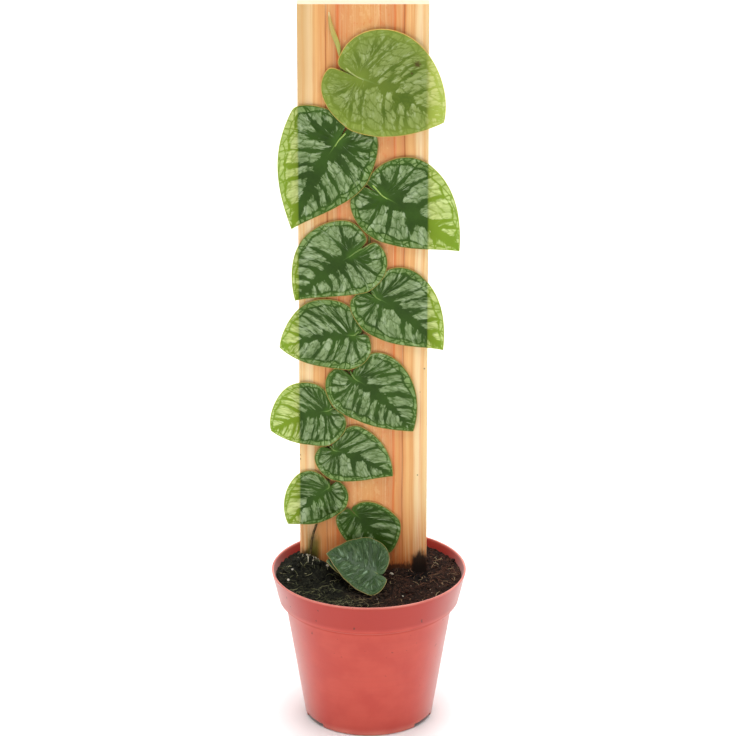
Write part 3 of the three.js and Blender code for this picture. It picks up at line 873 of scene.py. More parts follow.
@dataclass(frozen=True)
class BladeRules:
    """What all blades share: thickness, how they lie, how their veins run, and their grids.

    quilt is the swell between veins, which grows over swell_ramps: the millimetres from midrib and
    from margin, and the share of the way out. edge_bulge is the margin's swell. rest_height and sway
    are the gap to the board, overlap_gap and overlap_ramp the gap over the next lower leaf and how far
    off the rise to it starts, and stem_ramp is how far off the rise to the stem starts. midrib_bow
    bows the midrib. The first fan_share of the veins starts in the joint, foot_power spreads the
    others, and lobe_bend and tip_bend arch them, in degrees. sinus shapes the notch behind the joint,
    and outer_fullness and inner_fullness say how far the handles of an outline's last curve reach.
    The steps count the points of a curve, of the outlines and the midrib that distances are taken
    from, and of the grid.
    """

    thickness: float = 0.7
    quilt: float = 0.3
    swell_ramps: Triple = (6.0, 5.0, 0.25)
    edge_bulge: float = 0.12
    rest_height: float = 0.5
    overlap_gap: float = 0.4
    overlap_ramp: float = 7.0
    stem_ramp: float = 11.0
    sway: float = 0.45
    midrib_bow: float = 0.035
    fan_share: float = 0.45
    foot_power: float = 1.5
    lobe_bend: float = 22.0
    tip_bend: float = 20.0
    outer_fullness: Pair = (0.45, 0.4)
    inner_fullness: Pair = (0.42, 0.36)
    sinus: Triple = (0.95, 0.05, 0.09)
    curve_steps: int = 240
    ring_steps: int = 24
    rim_steps: int = 160
    midrib_steps: int = 30
    steps_along: int = 84
    steps_out: int = 22


RULES = BladeRules()


@dataclass(frozen=True)
class Side:
    """One side of a blade's outline: how far its lobe reaches back past the joint and how far out
    the lobe's backmost point lies, the widest point, and the half angle of the tip.

    veins holds the share of the outline at which each main lateral vein meets the margin.
    """

    lobe: float
    lobe_out: float
    widest_at: float
    half_width: float
    tip_angle: float
    veins: tuple[float, ...] = (0.08, 0.19, 0.31, 0.44, 0.57, 0.7, 0.82, 0.92)

    def outline(self, length: float, fullness: Pair, shares: Array) -> Array:
        """Points of the outline from the petiole joint round the lobe to the tip.

        Three cubic curves: into the lobe, a quarter ellipse to the widest point, and on to the tip
        at its angle. Points are spread evenly by length.

        Args:
            length: joint to tip.
            fullness: how far the last curve's handles reach, as shares of its run.
            shares: places along the outline, 0..1.

        Returns:
            Points, x along the midrib and y out from it.
        """
        back, out, wide_at, half = self.lobe, self.lobe_out, self.widest_at, self.half_width
        reach, angle = length - wide_at, math.radians(self.tip_angle)
        (notch, opened, rounded), (before, after) = RULES.sinus, fullness
        rear, widest = (-back, out), (wide_at, half)
        curves = (
            ((0, 0), (-notch * back, opened * out), (-back, rounded * out), rear),
            (rear, (-back, out + QUARTER * (half - out)),
             (wide_at - QUARTER * (wide_at + back), half), widest),
            (widest, (wide_at + before * reach, half),
             (length - after * reach * math.cos(angle), after * reach * math.sin(angle)), (length, 0)),
        )
        u = np.linspace(0.0, 1.0, RULES.curve_steps)[:, None]
        weights = ((1 - u) ** 3, 3 * u * (1 - u) ** 2, 3 * u * u * (1 - u), u**3)
        dense = np.concatenate([sum(w * np.array(p, float) for w, p in zip(weights, curve))
                                for curve in curves])
        run = run_along(dense)
        return np.stack([np.interp(shares * run[-1], run, dense[:, axis]) for axis in (0, 1)], -1)


@dataclass
class Leaf:
    """A leaf blade in its own plane, a along the midrib and b out to its outer side.

    outer and inner are its two sides, finish its look, seed shifts its pattern, veining widens
    its dark bands and lift raises its far end.
    """

    name: str
    length: float
    outer: Side
    inner: Side
    finish: LeafFinish
    seed: float
    veining: float = 1.0
    lift: float = 0.0

    def edge(self, sign: int, shares: Array) -> Array:
        """Points of the outline on one side, in the leaf's plane.

        Args:
            sign: 1 for the outer side and -1 for the inner one.
            shares: places along it, 0..1.

        Returns:
            The points.
        """
        side = self.outer if sign > 0 else self.inner
        fullness = RULES.outer_fullness if sign > 0 else RULES.inner_fullness
        return side.outline(self.length, fullness, shares) * (1, sign)

    def rim(self, count: int) -> Array:
        """The whole outline, with count points a side, from the joint round the tip to the joint."""
        shares = np.linspace(0.0, 1.0, count)
        return np.concatenate([self.edge(1, shares), self.edge(-1, shares)[::-1]])

    def midrib(self, run: Array) -> Array:
        """Points of the midrib at shares of its length, bowed as a shallow parabola."""
        return np.stack([run * self.length, RULES.midrib_bow * 4 * self.length * run * (1 - run)], -1)

    def half(self, sign: int) -> tuple[Array, Maps]:
        """One side's grid, whose rows are arched lateral veins from midrib to margin.

        The first rows fan out from the joint, the others leave the midrib one after another, and
        each vein is a quadratic curve whose middle is pulled back by its own slope.

        Args:
            sign: 1 for the outer side and -1 for the inner one.

        Returns:
            Plane points, rows by columns by 2, and the maps that the finish reads: "veins" counts
            the veins and the way out, "gauge" holds the vein's spacing and the way along, and
            "reach" the distances from the midrib and the margin.
        """
        s = np.linspace(0.0, 1.0, RULES.steps_along + 1)
        t = np.linspace(0.0, 1.0, RULES.steps_out + 1)[None, :, None]
        edge = self.edge(sign, s)
        past_fan = np.clip((s - RULES.fan_share) / (1 - RULES.fan_share), 0, None)
        foot = self.midrib(past_fan**RULES.foot_power)
        chord = edge - foot
        bend = np.radians(np.where(s < 0.5, RULES.lobe_bend, RULES.tip_bend) * np.sin(2 * np.pi * s))
        heading = np.arctan2(sign * chord[:, 1], chord[:, 0]) - bend
        reach = np.linalg.norm(chord, axis=1) / (2 * np.cos(bend))
        middle = foot + reach[:, None] * np.stack([np.cos(heading), sign * np.sin(heading)], -1)
        points = (1 - t) ** 2 * foot[:, None] + 2 * t * (1 - t) * middle[:, None] + t**2 * edge[:, None]

        shape, flat = points.shape[:2], points.reshape(-1, 2)
        lines = (self.midrib(np.linspace(0.0, 1.0, RULES.midrib_steps)), self.rim(RULES.rim_steps))
        rib, to_edge = (distance_to_line(flat, line).reshape(shape) for line in lines)
        veins = (self.outer if sign > 0 else self.inner).veins
        phase = np.interp(s, (0.0, *veins, 1.0), np.arange(len(veins) + 2) - 0.5 * (sign < 0))
        along_s, out_t = np.gradient(points, s, axis=0), np.gradient(points, t.ravel(), axis=1)
        area = np.abs(along_s[..., 0] * out_t[..., 1] - along_s[..., 1] * out_t[..., 0])
        pitch = area / (np.linalg.norm(out_t, axis=-1) + LEAST_RUN) / np.gradient(phase, s)[:, None]
        pairs = {"veins": (phase[:, None], t[..., 0]), "gauge": (pitch, s[:, None]), "reach": (rib, to_edge)}
        maps = {name: np.stack([np.broadcast_to(column, shape) for column in pair], -1)
                for name, pair in pairs.items()}
        return points, maps

    def swell(self, maps: Maps) -> Array:
        """How far the blade swells up between its veins: the squared sine of half a turn for each
        vein, grown with the way from the midrib and lost again at the margin.

        Args:
            maps: the maps of one side's grid.

        Returns:
            Millimetres at each grid point.
        """
        (phase, outward), (rib, edge) = (np.moveaxis(maps[name], -1, 0) for name in ("veins", "reach"))
        rib_ramp, edge_ramp, out_ramp = RULES.swell_ramps
        reach = ease(rib / rib_ramp) * ease(edge / edge_ramp)
        return RULES.quilt * np.sin(np.pi * phase) ** 2 * reach * ease(outward / out_ramp)

    def blade(self, place: Callable[[Array, Array], Array]) -> Surface:
        """The closed blade: upper and lower face of both sides, and the margin between them.

        Args:
            place: turns plane points and their faces, 0 lower to 1 upper, into space.

        Returns:
            The surface, with finish 0 on the upper side and 1 below.
        """
        parts = []
        for sign in (1, -1):
            plane, maps = self.half(sign)
            flat = plane.reshape(-1, 2)
            swell = self.swell(maps) / RULES.thickness
            faces = [place(flat, share + swell.ravel()).reshape(*plane.shape[:2], 3)
                     for share in (0.0, 0.5, 1.0)]
            outward = plane[:, -1] - plane[:, -2]
            outward = outward / (np.linalg.norm(outward, axis=-1, keepdims=True) + LEAST_EDGE)
            bulge = place(plane[:, -1] + RULES.edge_bulge * outward, 0.5 + swell[:, -1])
            bulge[[0, -1]] = faces[1][[0, -1], -1]
            edge_maps = {name: np.repeat(values[:, -1:], 3, axis=1) for name, values in maps.items()}
            rim = np.stack([faces[0][:, -1], bulge, faces[2][:, -1]], 1)
            parts += [sheet(faces[2], 0, maps=maps), sheet(faces[0], 1, maps=maps),
                      sheet(rim, 0, maps=edge_maps)]
        return Surface.joined(parts)

    def build(self, place: Callable[[Array, Array], Array], route: Array, across: Sequence[float]) -> Piece:
        """Makes the leaf: its blade, and its petiole as a thin bar.

        Args:
            place: turns plane points and their faces into space.
            route: the petiole's points in space, up to a last one inside the blade.
            across: a direction that the route never runs along.

        Returns:
            The object.
        """
        petiole = tube(smooth_path(route, PETIOLES.steps), PETIOLES.radii(), PETIOLES.sides, across, 2)
        made = Surface.joined([self.blade(place), petiole])
        return made.build(f"{self.name}_blade", *self.finish.dress(self))


@dataclass
class BoardLeaf(Leaf):
    """A leaf that lies on the board: its joint's place, the direction of its tip in degrees, and
    its petiole's route from the stem."""

    x: float = 0.0
    z: float = 0.0
    turn: float = 0.0
    petiole: tuple[Pair, ...] = ()

    def on_board(self, plane: Array) -> Array:
        """The plane turned and moved to the leaf's place, with its outer side kept upwards.

        Args:
            plane: plane points.

        Returns:
            Their x and z on the board's face.
        """
        turn = math.radians(self.turn)
        hand = 1.0 if math.cos(turn) > 0 else -1.0
        along = np.array([math.cos(turn), math.sin(turn)])
        out = hand * np.array([-math.sin(turn), math.cos(turn)])
        return np.array([self.x, self.z]) + plane[:, :1] * along + plane[:, 1:] * out

    def ring(self) -> Array:
        """The outline on the board, as one line of points from the joint round to the joint."""
        return self.on_board(self.rim(RULES.ring_steps + 1))

    def petiole_line(self) -> Array:
        """The petiole's route on the board, ending at the joint."""
        return np.array([*self.petiole, (self.x, self.z)])


@dataclass
class FreeLeaf(Leaf):
    """A leaf that leans out over the soil: its joint, the directions of its tip and of its inner
    side, and its petiole's route down into the soil.

    quilt is its swell between veins, and quilt_waves the millimetres that shape it: a radian along,
    a radian out, and the way from the midrib over which it grows.
    """

    joint: Triple = (0, 0, 0)
    along: Triple = (1, 0, 0)
    inward: Triple = (0, -1, 0)
    petiole: tuple[Triple, ...] = ()
    quilt: float = 0.35
    quilt_waves: Triple = (2.1, 3.0, 6.0)

    def place(self, plane: Array, share: Union[Array, float]) -> Array:
        """Plane points in space: a flat blade that curls at its far end and swells a little
        between its veins.

        Args:
            plane: plane points.
            share: their faces, 0 lower to 1 upper.

        Returns:
            The points in space.
        """
        along, inward = unit(np.array([self.along, self.inward], float))
        a, b = plane[:, :1], plane[:, 1:]
        curl = self.lift * (a * a + b * b) / self.length**2
        wave_along, wave_out, ramp = self.quilt_waves
        swell = self.quilt * np.sin(a / wave_along - np.abs(b) / wave_out) * ease(np.abs(b) / ramp)
        height = curl + swell + (np.reshape(share, (-1, 1)) - 0.5) * RULES.thickness
        return np.array(self.joint) + a * along - b * inward + height * np.cross(along, inward)


@dataclass(frozen=True)
class Petioles:
    """What all petioles share: the room that they take under a leaf, how they look, and their grid."""

    radius: float = 0.8
    seen_radius: float = 0.6
    tip_radius: float = 0.3
    proud: float = 0.1
    root_in: float = 0.07
    clearance: float = 1.3
    ramp: float = 4.5
    sides: int = 12
    steps: int = 26

    def radii(self) -> Array:
        """Radius from the foot to the blade."""
        return np.linspace(self.seen_radius, self.tip_radius, self.steps)


PETIOLES = Petioles()


@dataclass
class Stem:
    """The creeping stem: its route up the board, which starts buried, a swelling at each joint, and
    the roots, each from a joint to where it grips the wood.

    gap and radius hold the stem off the board, and seat is the room that it takes under a leaf. The
    second root of a joint goes a share of the first one's way and ends a little aside and down, as
    second_root says. root_bows lift the middle of each root, root_wriggle is the size and the radians
    of their sway, joint_swell, joint_spread and seen_share shape the swellings, and waver is the depth
    and the two pitches of the stem's unevenness.
    """

    gap: float = 0.3
    radius: float = 0.7
    seat: float = 1.3
    buried: Pair = (-37, 84)
    path: tuple[Pair, ...] = (
        (-36.2, 100), (-34.6, 116), (-32, 124.5), (-28.5, 138), (-24.6, 153), (-25, 178), (-19, 203),
        (-12, 227), (-4.8, 252.5), (0.6, 277.5), (0.4, 306), (-2.2, 348.5), (-11.5, 380), (-15, 402),
        (-16.8, 423),
    )
    roots: tuple[tuple[Pair, Pair], ...] = (
        ((-24.6, 153), (-31, 147)), ((-25, 178), (-32.5, 175.5)), ((-19, 203), (-12.5, 197)),
        ((-12, 227), (-20, 225.5)), ((-4.8, 252.5), (2.5, 247.5)), ((0.6, 277.5), (-6.5, 273)),
        ((0.4, 306), (7, 301)), ((-2.2, 348.5), (-9, 343)),
    )
    root_radius: float = 0.35
    root_tip: float = 0.12
    root_steps: int = 14
    root_sides: int = 8
    root_bows: Pair = (0.8, -1.1)
    root_wriggle: Pair = (0.25, 9)
    second_root: Triple = (0.4, 0.9, -4.2)
    joint_swell: float = 0.3
    joint_spread: float = 5.0
    seen_share: float = 0.6
    waver: Triple = (0.06, 1.9, 0.53)
    steps: int = 420
    sides: int = 18

    @property
    def height(self) -> float:
        """Height of the stem's centre over the board."""
        return self.gap + self.radius

    def build(self, board_front: float) -> Piece:
        """Makes the stem with two roots at each joint.

        Args:
            board_front: y of the board's face.

        Returns:
            The object.
        """
        route = np.array([(x, board_front - self.height, z) for x, z in (self.buried, *self.path)])
        line = smooth_path(route, self.steps)
        joints = np.array([z for (_, z), _ in self.roots])
        swell = np.exp(-((line[:, 2:] - joints) ** 2) / self.joint_spread).sum(1) * self.joint_swell
        (depth, quick, slow), (share, aside, down) = self.waver, self.second_root
        fine = depth * np.sin(line[:, 2] * quick) * np.sin(line[:, 2] * slow)
        parts = [tube(line, self.radius + self.seen_share * swell + fine, self.sides, FROM_BOARD)]
        for (x0, z0), (x1, z1) in self.roots:
            ends = ((x1, z1), (x1 * share + x0 * (1 - share) + aside, z1 + down))
            parts += [self.root(board_front, (x0, z0), end, bow) for end, bow in zip(ends, self.root_bows)]
        return Surface.joined(parts).build("stem_bark", self.bark())

    def root(self, board_front: float, start: Pair, end: Pair, bow: float) -> Surface:
        """One aerial root that leaves the stem and grips the board.

        Args:
            board_front: y of the board's face.
            start: x and z of the joint.
            end: x and z of its tip.
            bow: how far its middle lies above the straight way.

        Returns:
            The surface.
        """
        middle = ((start[0] + end[0]) / 2, (start[1] + end[1]) / 2 + bow)
        heights = (self.height, self.gap + self.root_radius, self.gap + self.root_tip)
        points = np.array([(x, board_front - h, z) for (x, z), h in zip((start, middle, end), heights)])
        line = smooth_path(points, self.root_steps)
        (size, turn), share = self.root_wriggle, np.linspace(0, 1, self.root_steps)
        line[:, 2] += size * np.sin(np.linspace(0, turn, self.root_steps)) * share
        radii = np.linspace(self.root_radius, self.root_tip, self.root_steps)
        return tube(line, radii, self.root_sides, FROM_BOARD)

    def bark(self) -> Material:
        """Brown bark with lines along it and paler scars, which turns green and lighter with height: partly
        the young stem's own green, partly painted light where it lies in the leaves' shade.

        Returns:
            The material.
        """
        g = Dressing("stem_bark")
        run, turn = g.uv("bark")
        z = g.place()[2]
        streaks = g.noise((run * 0.35, turn * 8.0), 4.0, 0.65)
        rings = g.noise((run * 1.6, turn * 1.2, 4.0))
        g.colour = g.blend(streaks.span(0.38, 0.62), (58, 44, 20), (112, 92, 46))
        g.coat(rings.span(0.55, 0.68) * 0.6, (132, 116, 66))
        # greener and lighter from here up: the young stem's green, and painted light against the leaves'
        # shade
        g.coat(z.span(150, 270, 0.0, 0.8), (126, 140, 66))
        g.coat(z.span(388, 412, 0.0, 0.85), (168, 180, 96))
        return g.finished(streaks + rings * 0.6, 0.3, Roughness=0.62, Specular_IOR_Level=0.3)


@dataclass
class GrowingTip:
    """The rolled sheath of the next leaf, with its lapped edge.

    foot_share and tip_loss shape its swelling, lift holds it off the board, and drop and ridge are
    the depth, the place round the turn and the run of the lapped edge's step and of its ridge.
    """

    path: tuple[Pair, ...] = (
        (-16.9, 424.6), (-18.4, 431.5), (-21.2, 439.2), (-22.8, 445.5), (-23.5, 451.2),
    )
    radius: float = 1.6
    foot_share: float = 0.62
    tip_loss: float = 0.4
    lift: float = 0.6
    drop: Triple = (0.13, 0.72, 0.1)
    ridge: Triple = (0.04, 0.68, 0.12)
    steps: int = 90
    sides: int = 28

    def build(self, board_front: float, stem: Stem) -> Piece:
        """Makes the sheath: a swelling bar whose section is a spiral of one turn, so that one edge
        stands over the other.

        Args:
            board_front: y of the board's face.
            stem: the stem that carries it.

        Returns:
            The object.
        """
        height = stem.height + self.lift
        line = smooth_path(np.array([(x, board_front - height, z) for x, z in self.path]), self.steps)
        share = np.linspace(0.0, 1.0, self.steps)
        swell = self.foot_share + (1 - self.foot_share) * np.sin(np.pi * share) - self.tip_loss * share**3
        rolled = tube(line, self.radius * swell, self.sides, FROM_BOARD)
        grid = rolled.points.reshape(self.steps + 2, self.sides, 3)
        centre = grid.mean(1, keepdims=True)
        turn = np.linspace(0.0, 1.0, self.sides, endpoint=False)
        (fall, drop_at, drop_run), (rise, ridge_at, ridge_run) = self.drop, self.ridge
        under = fall * ease(1 - np.abs(turn - drop_at) / drop_run) * (turn > drop_at)
        lap = 1.0 - under + rise * ease(1 - np.abs(turn - ridge_at) / ridge_run)
        rolled.points = (centre + (grid - centre) * lap[None, :, None]).reshape(-1, 3)
        return rolled.build("tip_sheath", self.skin())

    def skin(self) -> Material:
        """Pale yellow-green skin that turns straw-coloured and papery towards the point.

        Returns:
            The material.
        """
        g = Dressing("tip_sheath")
        run, turn = g.uv("bark")
        lines = g.noise((run * 0.12, turn * 12.0), 3.0)
        g.colour = g.blend(run.span(4.0, 24.0), (172, 176, 84), (196, 168, 92))
        g.coat(lines.span(0.5, 0.66) * 0.4, (150, 142, 62))
        g.coat(run.span(24.0, 27.0), (226, 206, 150))
        return g.finished(lines, 0.15, Roughness=0.42, Specular_IOR_Level=0.4)


class Tone(Enum):
    """Tones of the softwood board."""

    PALE = (252, 222, 172)
    CREAM = (246, 210, 152)
    STRAW = (242, 190, 124)
    HONEY = (232, 168, 102)
    HEART = (224, 154, 98)
    AMBER = (226, 118, 58)
    RUST = (180, 92, 44)


@dataclass
class Board:
    """The planed softwood board, which keeps its CAD mesh: its left and right edge and its face.

    grain lists where each growth band lies across the face, as millimetres from the left edge, and
    its tone, and slant shifts the bands with depth. stains are the soil's marks, each with its
    middle, top, half width and colour, bloom_at is the middle of a green bloom, and pinholes are
    its tone, and slant shifts the bands with depth. foot_marks are dark marks at its foot, each with its
    middle, top, half width and colour, bloom_at is the middle of a green bloom, and pinholes are
    """

    left: float
    right: float
    front: float
    grain: tuple[tuple[float, Tone], ...] = (
        (0.0, Tone.CREAM), (2.8, Tone.CREAM), (3.4, Tone.STRAW), (4.2, Tone.CREAM), (6.5, Tone.PALE),
        (8.8, Tone.CREAM), (9.6, Tone.HONEY), (10.8, Tone.STRAW), (12.6, Tone.HONEY), (15.9, Tone.HONEY),
        (16.5, Tone.RUST), (17.3, Tone.HONEY), (22.2, Tone.HEART), (23.4, Tone.AMBER), (25.2, Tone.HEART),
        (41.0, Tone.HONEY), (56.4, Tone.HEART), (57.6, Tone.AMBER), (58.8, Tone.HONEY), (62.6, Tone.HEART),
        (63.2, Tone.RUST), (63.9, Tone.HONEY), (66.5, Tone.STRAW), (69.4, Tone.HONEY), (70.4, Tone.CREAM),
        (73.0, Tone.PALE), (75.2, Tone.STRAW), (76.4, Tone.CREAM), (78.0, Tone.CREAM),
    )
    slant: float = 0.35
    foot_marks: tuple[tuple[float, float, float, RGB], ...] = (
        (31.5, 106.0, 6.5, (10, 8, 7)), (-37.0, 108.5, 8.0, (62, 50, 18)),
    )
    bloom_at: float = -34.0
    pinholes: tuple[Triple, ...] = (
        (-42.3, 169.5, 0.9), (-42.0, 166.8, 0.7), (33.7, 226.2, 0.7), (31.1, 210.9, 0.4), (29.8, 156.2, 0.6),
    )

    @classmethod
    def from_frame(cls) -> "Board":
        """The board with the sizes of its CAD node."""
        low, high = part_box("board")
        return cls(low.x / MM, high.x / MM, low.y / MM)

    def dress(self) -> None:
        """Gives the CAD board its wood.

        The tone is read across the board along growth bands that slant with depth and wander
        slowly with height. Fine streaks, pale flecks, painted shade on the top left corner, marks at the
        foot and end grain toned down as painted shade follow.
        """
        g = Dressing("softwood")
        x, y, z = g.place()
        drift = g.noise((x * 0.012, y * 0.02, z * 0.0045))
        quiver = g.noise((x * 0.06, y * 0.06, z * 0.03))
        bands = x + y * self.slant + (drift.wave(6.0) + quiver.wave(1.4))
        across = bands.slope(self.left + self.slant * self.front, self.right + self.slant * self.front)
        streaks = g.noise((bands * 1.7, y * 1.7, z * 0.014), 4.0, 0.6)
        threads = g.noise((x * 6.0, y * 6.0, z * 0.12))
        flecks = g.noise((x * 0.3, y * 0.3, z * 0.17), 4.0, 0.7)
        heart = across.span(0.3, 0.36) * across.span(0.73, 0.68)
        width = self.right - self.left
        g.colour = g.ramp(across, [(place / width, tone.value) for place, tone in self.grain])
        g.coat(streaks.span(0.52, 0.7, 0.0, 0.5), Tone.AMBER.value)
        g.coat(streaks.span(0.46, 0.3, 0.0, 0.5), Tone.PALE.value)
        g.coat(heart * flecks.span(0.55, 0.62) * 0.28, Tone.CREAM.value)
        g.coat(heart * flecks.span(0.44, 0.34) * 0.35, Tone.AMBER.value)
        g.coat(z.span(150, 95, 0.0, 0.75) * streaks.span(0.36, 0.6, 0.45, 1.0), (222, 124, 58))
        # painted shade: the top left of the face is toned darker where the lamps light it more than the rest
        shaded_corner = x.span(self.left + 14.0, self.left + 3.0) * z.span(330, 420)
        g.coat(shaded_corner * 0.6, (206, 158, 96))
        self.mark_foot(g, x, z)
        for *centre, radius in self.pinholes:
            g.coat(g.away(x, z, centre).span(radius, radius * 0.4, 0.0, 0.7), (104, 64, 36))
        # painted shade: faces that look up, the top end grain, are toned down to a greyer colour against the
        # strong overhead light
        upward = g.parts(g.node("ShaderNodeNewGeometry").outputs["Normal"])[2]
        g.coat(upward.span(0.6, 0.9) * 0.85, (205, 188, 164))
        material = g.finished(streaks * 0.5 + threads * 0.5, 0.12, Specular_IOR_Level=0.3,
                              Roughness=streaks.span(0.3, 0.7, 0.52, 0.64))
        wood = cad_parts["board"].data
        wood.materials.clear()
        wood.materials.append(material)

    def mark_foot(self, g: Dressing, x: Value, z: Value) -> None:
        """Lays on the damp band at the foot, the dark marks there, the green bloom, and a dark line at the
        soil that is partly damp and partly painted contact shade.

        Args:
            g: the wood's material.
            x: place across, in millimetres.
            z: height, in millimetres.
        """
        low = z + g.noise((x * 0.28, z * 0.09, 2.0), 4.0, 0.7).wave(12.0)
        damp_contact_shade = z + g.noise((x * 0.9, z * 0.3, 7.0), 3.0).wave(7.0)
        g.coat(low.span(108, 92) * 0.75, (176, 88, 36))
        for centre, top, spread, shade in self.foot_marks:
            off = (x - centre).math("ABSOLUTE")
            reach = top - off * 0.7
            mask = low.span(reach + 3.5, reach - 4.0) * off.span(spread, spread * 0.55)
            g.coat(mask * 0.96, shade)
        bloom = (x - self.bloom_at).math("ABSOLUTE").span(6.0, 1.5)
        g.coat(bloom * (low.span(121, 110) * low.span(99, 105)) * 0.85, (98, 96, 20))
        # a dark line where the board meets the soil: partly damp wood, partly painted contact shade
        g.coat(damp_contact_shade.span(98.5, 95.0) * 0.85, (30, 20, 13))


@dataclass
class Pot:
    """The moulded nursery pot, turned on a lathe from its wall's profile, with drainage slots.

    Its rim has a rounded lip, a band hangs from it down to band_foot, and the wall steps in there to
    shoulder and tapers to a foot ring and a raised floor. Straight stretches are cut up so that none
    is over longest, and gap keeps the soil off the inner wall.
    """

    height: float = 95.8
    rim_radius: float = 60.0
    lip: float = 0.3
    lip_drop: float = 0.2
    lip_width: float = 1.3
    band_foot: Pair = (55.4, 76.4)
    band_wall: float = 1.2
    shoulder: Pair = (51.6, 74.2)
    foot_radius: float = 39.7
    foot_inset: float = 0.3
    foot_ring: float = 5.5
    floor_rise: float = 2.4
    wall: float = 1.3
    ring_bevel: float = 1.2
    slot_angles: tuple[int, ...] = (60, 120, 240, 300)
    slot_width: float = 20.0
    slot_height: float = 2.4
    slot_depth: float = 12.0
    segments: int = 240
    fillet_steps: int = 5
    longest: float = 3.0
    gap: float = 0.3

    def profile(self) -> Array:
        """The wall's closed outline: from the floor's underside round the foot, up the outside, over
        the lip and down the inside, with its corners rounded.

        Returns:
            Radius and height of its points.
        """
        rim, top, foot = self.rim_radius, self.height, self.foot_radius
        rise, wall, band = self.floor_rise, self.wall, self.band_wall
        ring_in = foot - self.foot_ring
        floor_edge, floor_top = ring_in - self.ring_bevel, rise + wall
        (band_r, band_z), (sho_r, sho_z) = self.band_foot, self.shoulder
        return rounded_profile((
            (0, rise, 0), (floor_edge, rise, 0.5), (ring_in, 0, 0.4), (foot - self.foot_inset, 0, 0.7),
            (sho_r, sho_z, 0.9), (band_r, band_z, 0.8), (rim, top - self.lip_drop, 0.35),
            (rim - self.lip, top, 0.3), (rim - self.lip_width, top, 0.4), (band_r - band, band_z + band, 0.8),
            (sho_r - band, sho_z + band, 0.8), (foot - wall, wall, 0.6), (ring_in, wall, 0.4),
            (floor_edge, floor_top, 0.4), (0, floor_top, 0),
        ), self.fillet_steps)

    def lining(self) -> list[Pair]:
        """The outline of what fills the pot, a gap off its inner wall.

        Returns:
            Radius and height of its points, from the band down.
        """
        (band_r, band_z), (sho_r, sho_z), inset = self.band_foot, self.shoulder, self.band_wall + self.gap
        floor = self.floor_rise + self.wall + self.gap
        foot = self.foot_radius - self.wall - self.gap
        return [(band_r - inset, band_z + self.band_wall), (sho_r - inset, sho_z + 1.1),
                (foot + 0.6, floor + 0.6), (foot - 2.0, floor)]

    def build(self) -> Piece:
        """Makes the pot and cuts its slots."""
        pot = sheet(turned(self.split_long(self.profile()), self.segments), closed=True)
        return self.cut_slots(pot.build("nursery_pot", self.plastic()))

    def split_long(self, profile: Array) -> Array:
        """Adds points to a profile so that no straight stretch is over the longest one allowed.

        Args:
            profile: radius and height of its points.

        Returns:
            The profile with the new points.
        """
        steps = np.ceil(np.linalg.norm(np.diff(profile, axis=0), axis=1) / self.longest).astype(int).clip(1)
        shares = [np.linspace(i, i + 1, n, endpoint=False) for i, n in enumerate(steps)]
        places = np.append(np.concatenate(shares), len(profile) - 1)
        whole = np.arange(len(profile))
        return np.stack([np.interp(places, whole, profile[:, axis]) for axis in (0, 1)], -1)

    def cut_slots(self, pot: Piece) -> Piece:
        """Cuts the drainage slots through the foot ring by one Boolean.

        Args:
            pot: the turned pot.

        Returns:
            The same object.
        """
        boxes = []
        near = self.foot_radius - self.foot_ring - 1
        far, wide = near + self.slot_depth, self.slot_width / 2
        section = ((near, -wide), (far, -wide), (far, wide), (near, wide))
        faces = np.concatenate([np.arange(8).reshape(2, 4), grid_faces(2, 4, True)])
        for degrees in self.slot_angles:
            turn = math.radians(degrees)
            radial = np.array([math.sin(turn), -math.cos(turn), 0.0])
            tangent = np.array([math.cos(turn), math.sin(turn), 0.0])
            corners = [radial * r + tangent * w + np.array([0, 0, level])
                       for level in (-self.slot_height, self.slot_height) for r, w in section]
            boxes.append(Surface(np.array(corners), faces, np.zeros(len(faces))))
        cutter = Surface.joined(boxes).build("slot_cutter")
        cut = pot.modifiers.new("slots", "BOOLEAN")
        cut.object, cut.operation, cut.solver = cutter, "DIFFERENCE", "EXACT"
        mesh = bpy.data.meshes.new_from_object(pot.evaluated_get(bpy.context.evaluated_depsgraph_get()))
        pot.modifiers.clear()
        pot.data = mesh
        bpy.data.objects.remove(cutter)
        shade_smooth(mesh)
        return pot

    def plastic(self) -> Material:
        """Terracotta-coloured plastic: slightly cloudy, darker on the band, with faint turning lines, paler
        at the rim's top edge and at the foot, with painted shade in the step under the band, a painted
        pale sheen at its sides, and crumbs of soil caught on it.

        Returns:
            The material.
        """
        g = Dressing("pot_plastic")
        x, y, z = g.place()
        band_z, shoulder_z = self.band_foot[1], self.shoulder[1]
        grain = g.group("fine_grain", Per_mm=2.2, Seed=1.0)
        cloud = grain["Cloud"]
        rings = g.noise((x * 0.01, y * 0.01, z * 0.9), 3.0)
        crumbs = g.noise((x * 0.33, y * 0.33, z * 0.33), 1.0)
        pale_rim_and_foot = z.span(self.height - 1.6, self.height - 0.2).most(z.span(5.0, 0.5))
        pale_rim_and_foot = pale_rim_and_foot * cloud.span(0.25, 0.75, 0.3, 0.7)
        shaded_step = z.span(shoulder_z - 1.6, shoulder_z) * z.span(band_z + 0.9, band_z)
        facing = Value(g, g.node("ShaderNodeLayerWeight").outputs["Facing"])
        g.colour = g.blend(cloud.span(0.35, 0.65), (195, 71, 58), (203, 81, 66))
        g.coat(rings.span(0.45, 0.7) * 0.12, (186, 74, 60))
        g.coat(z.span(band_z - 0.5, band_z + 4.0, 0.0, 0.85), (174, 52, 42))
        # paler colour at the rim's top edge and at the foot
        g.coat(pale_rim_and_foot, (226, 142, 126))
        # painted shade: a darker line in the step under the band, where shade falls
        g.coat(shaded_step * 0.3, (134, 42, 33))
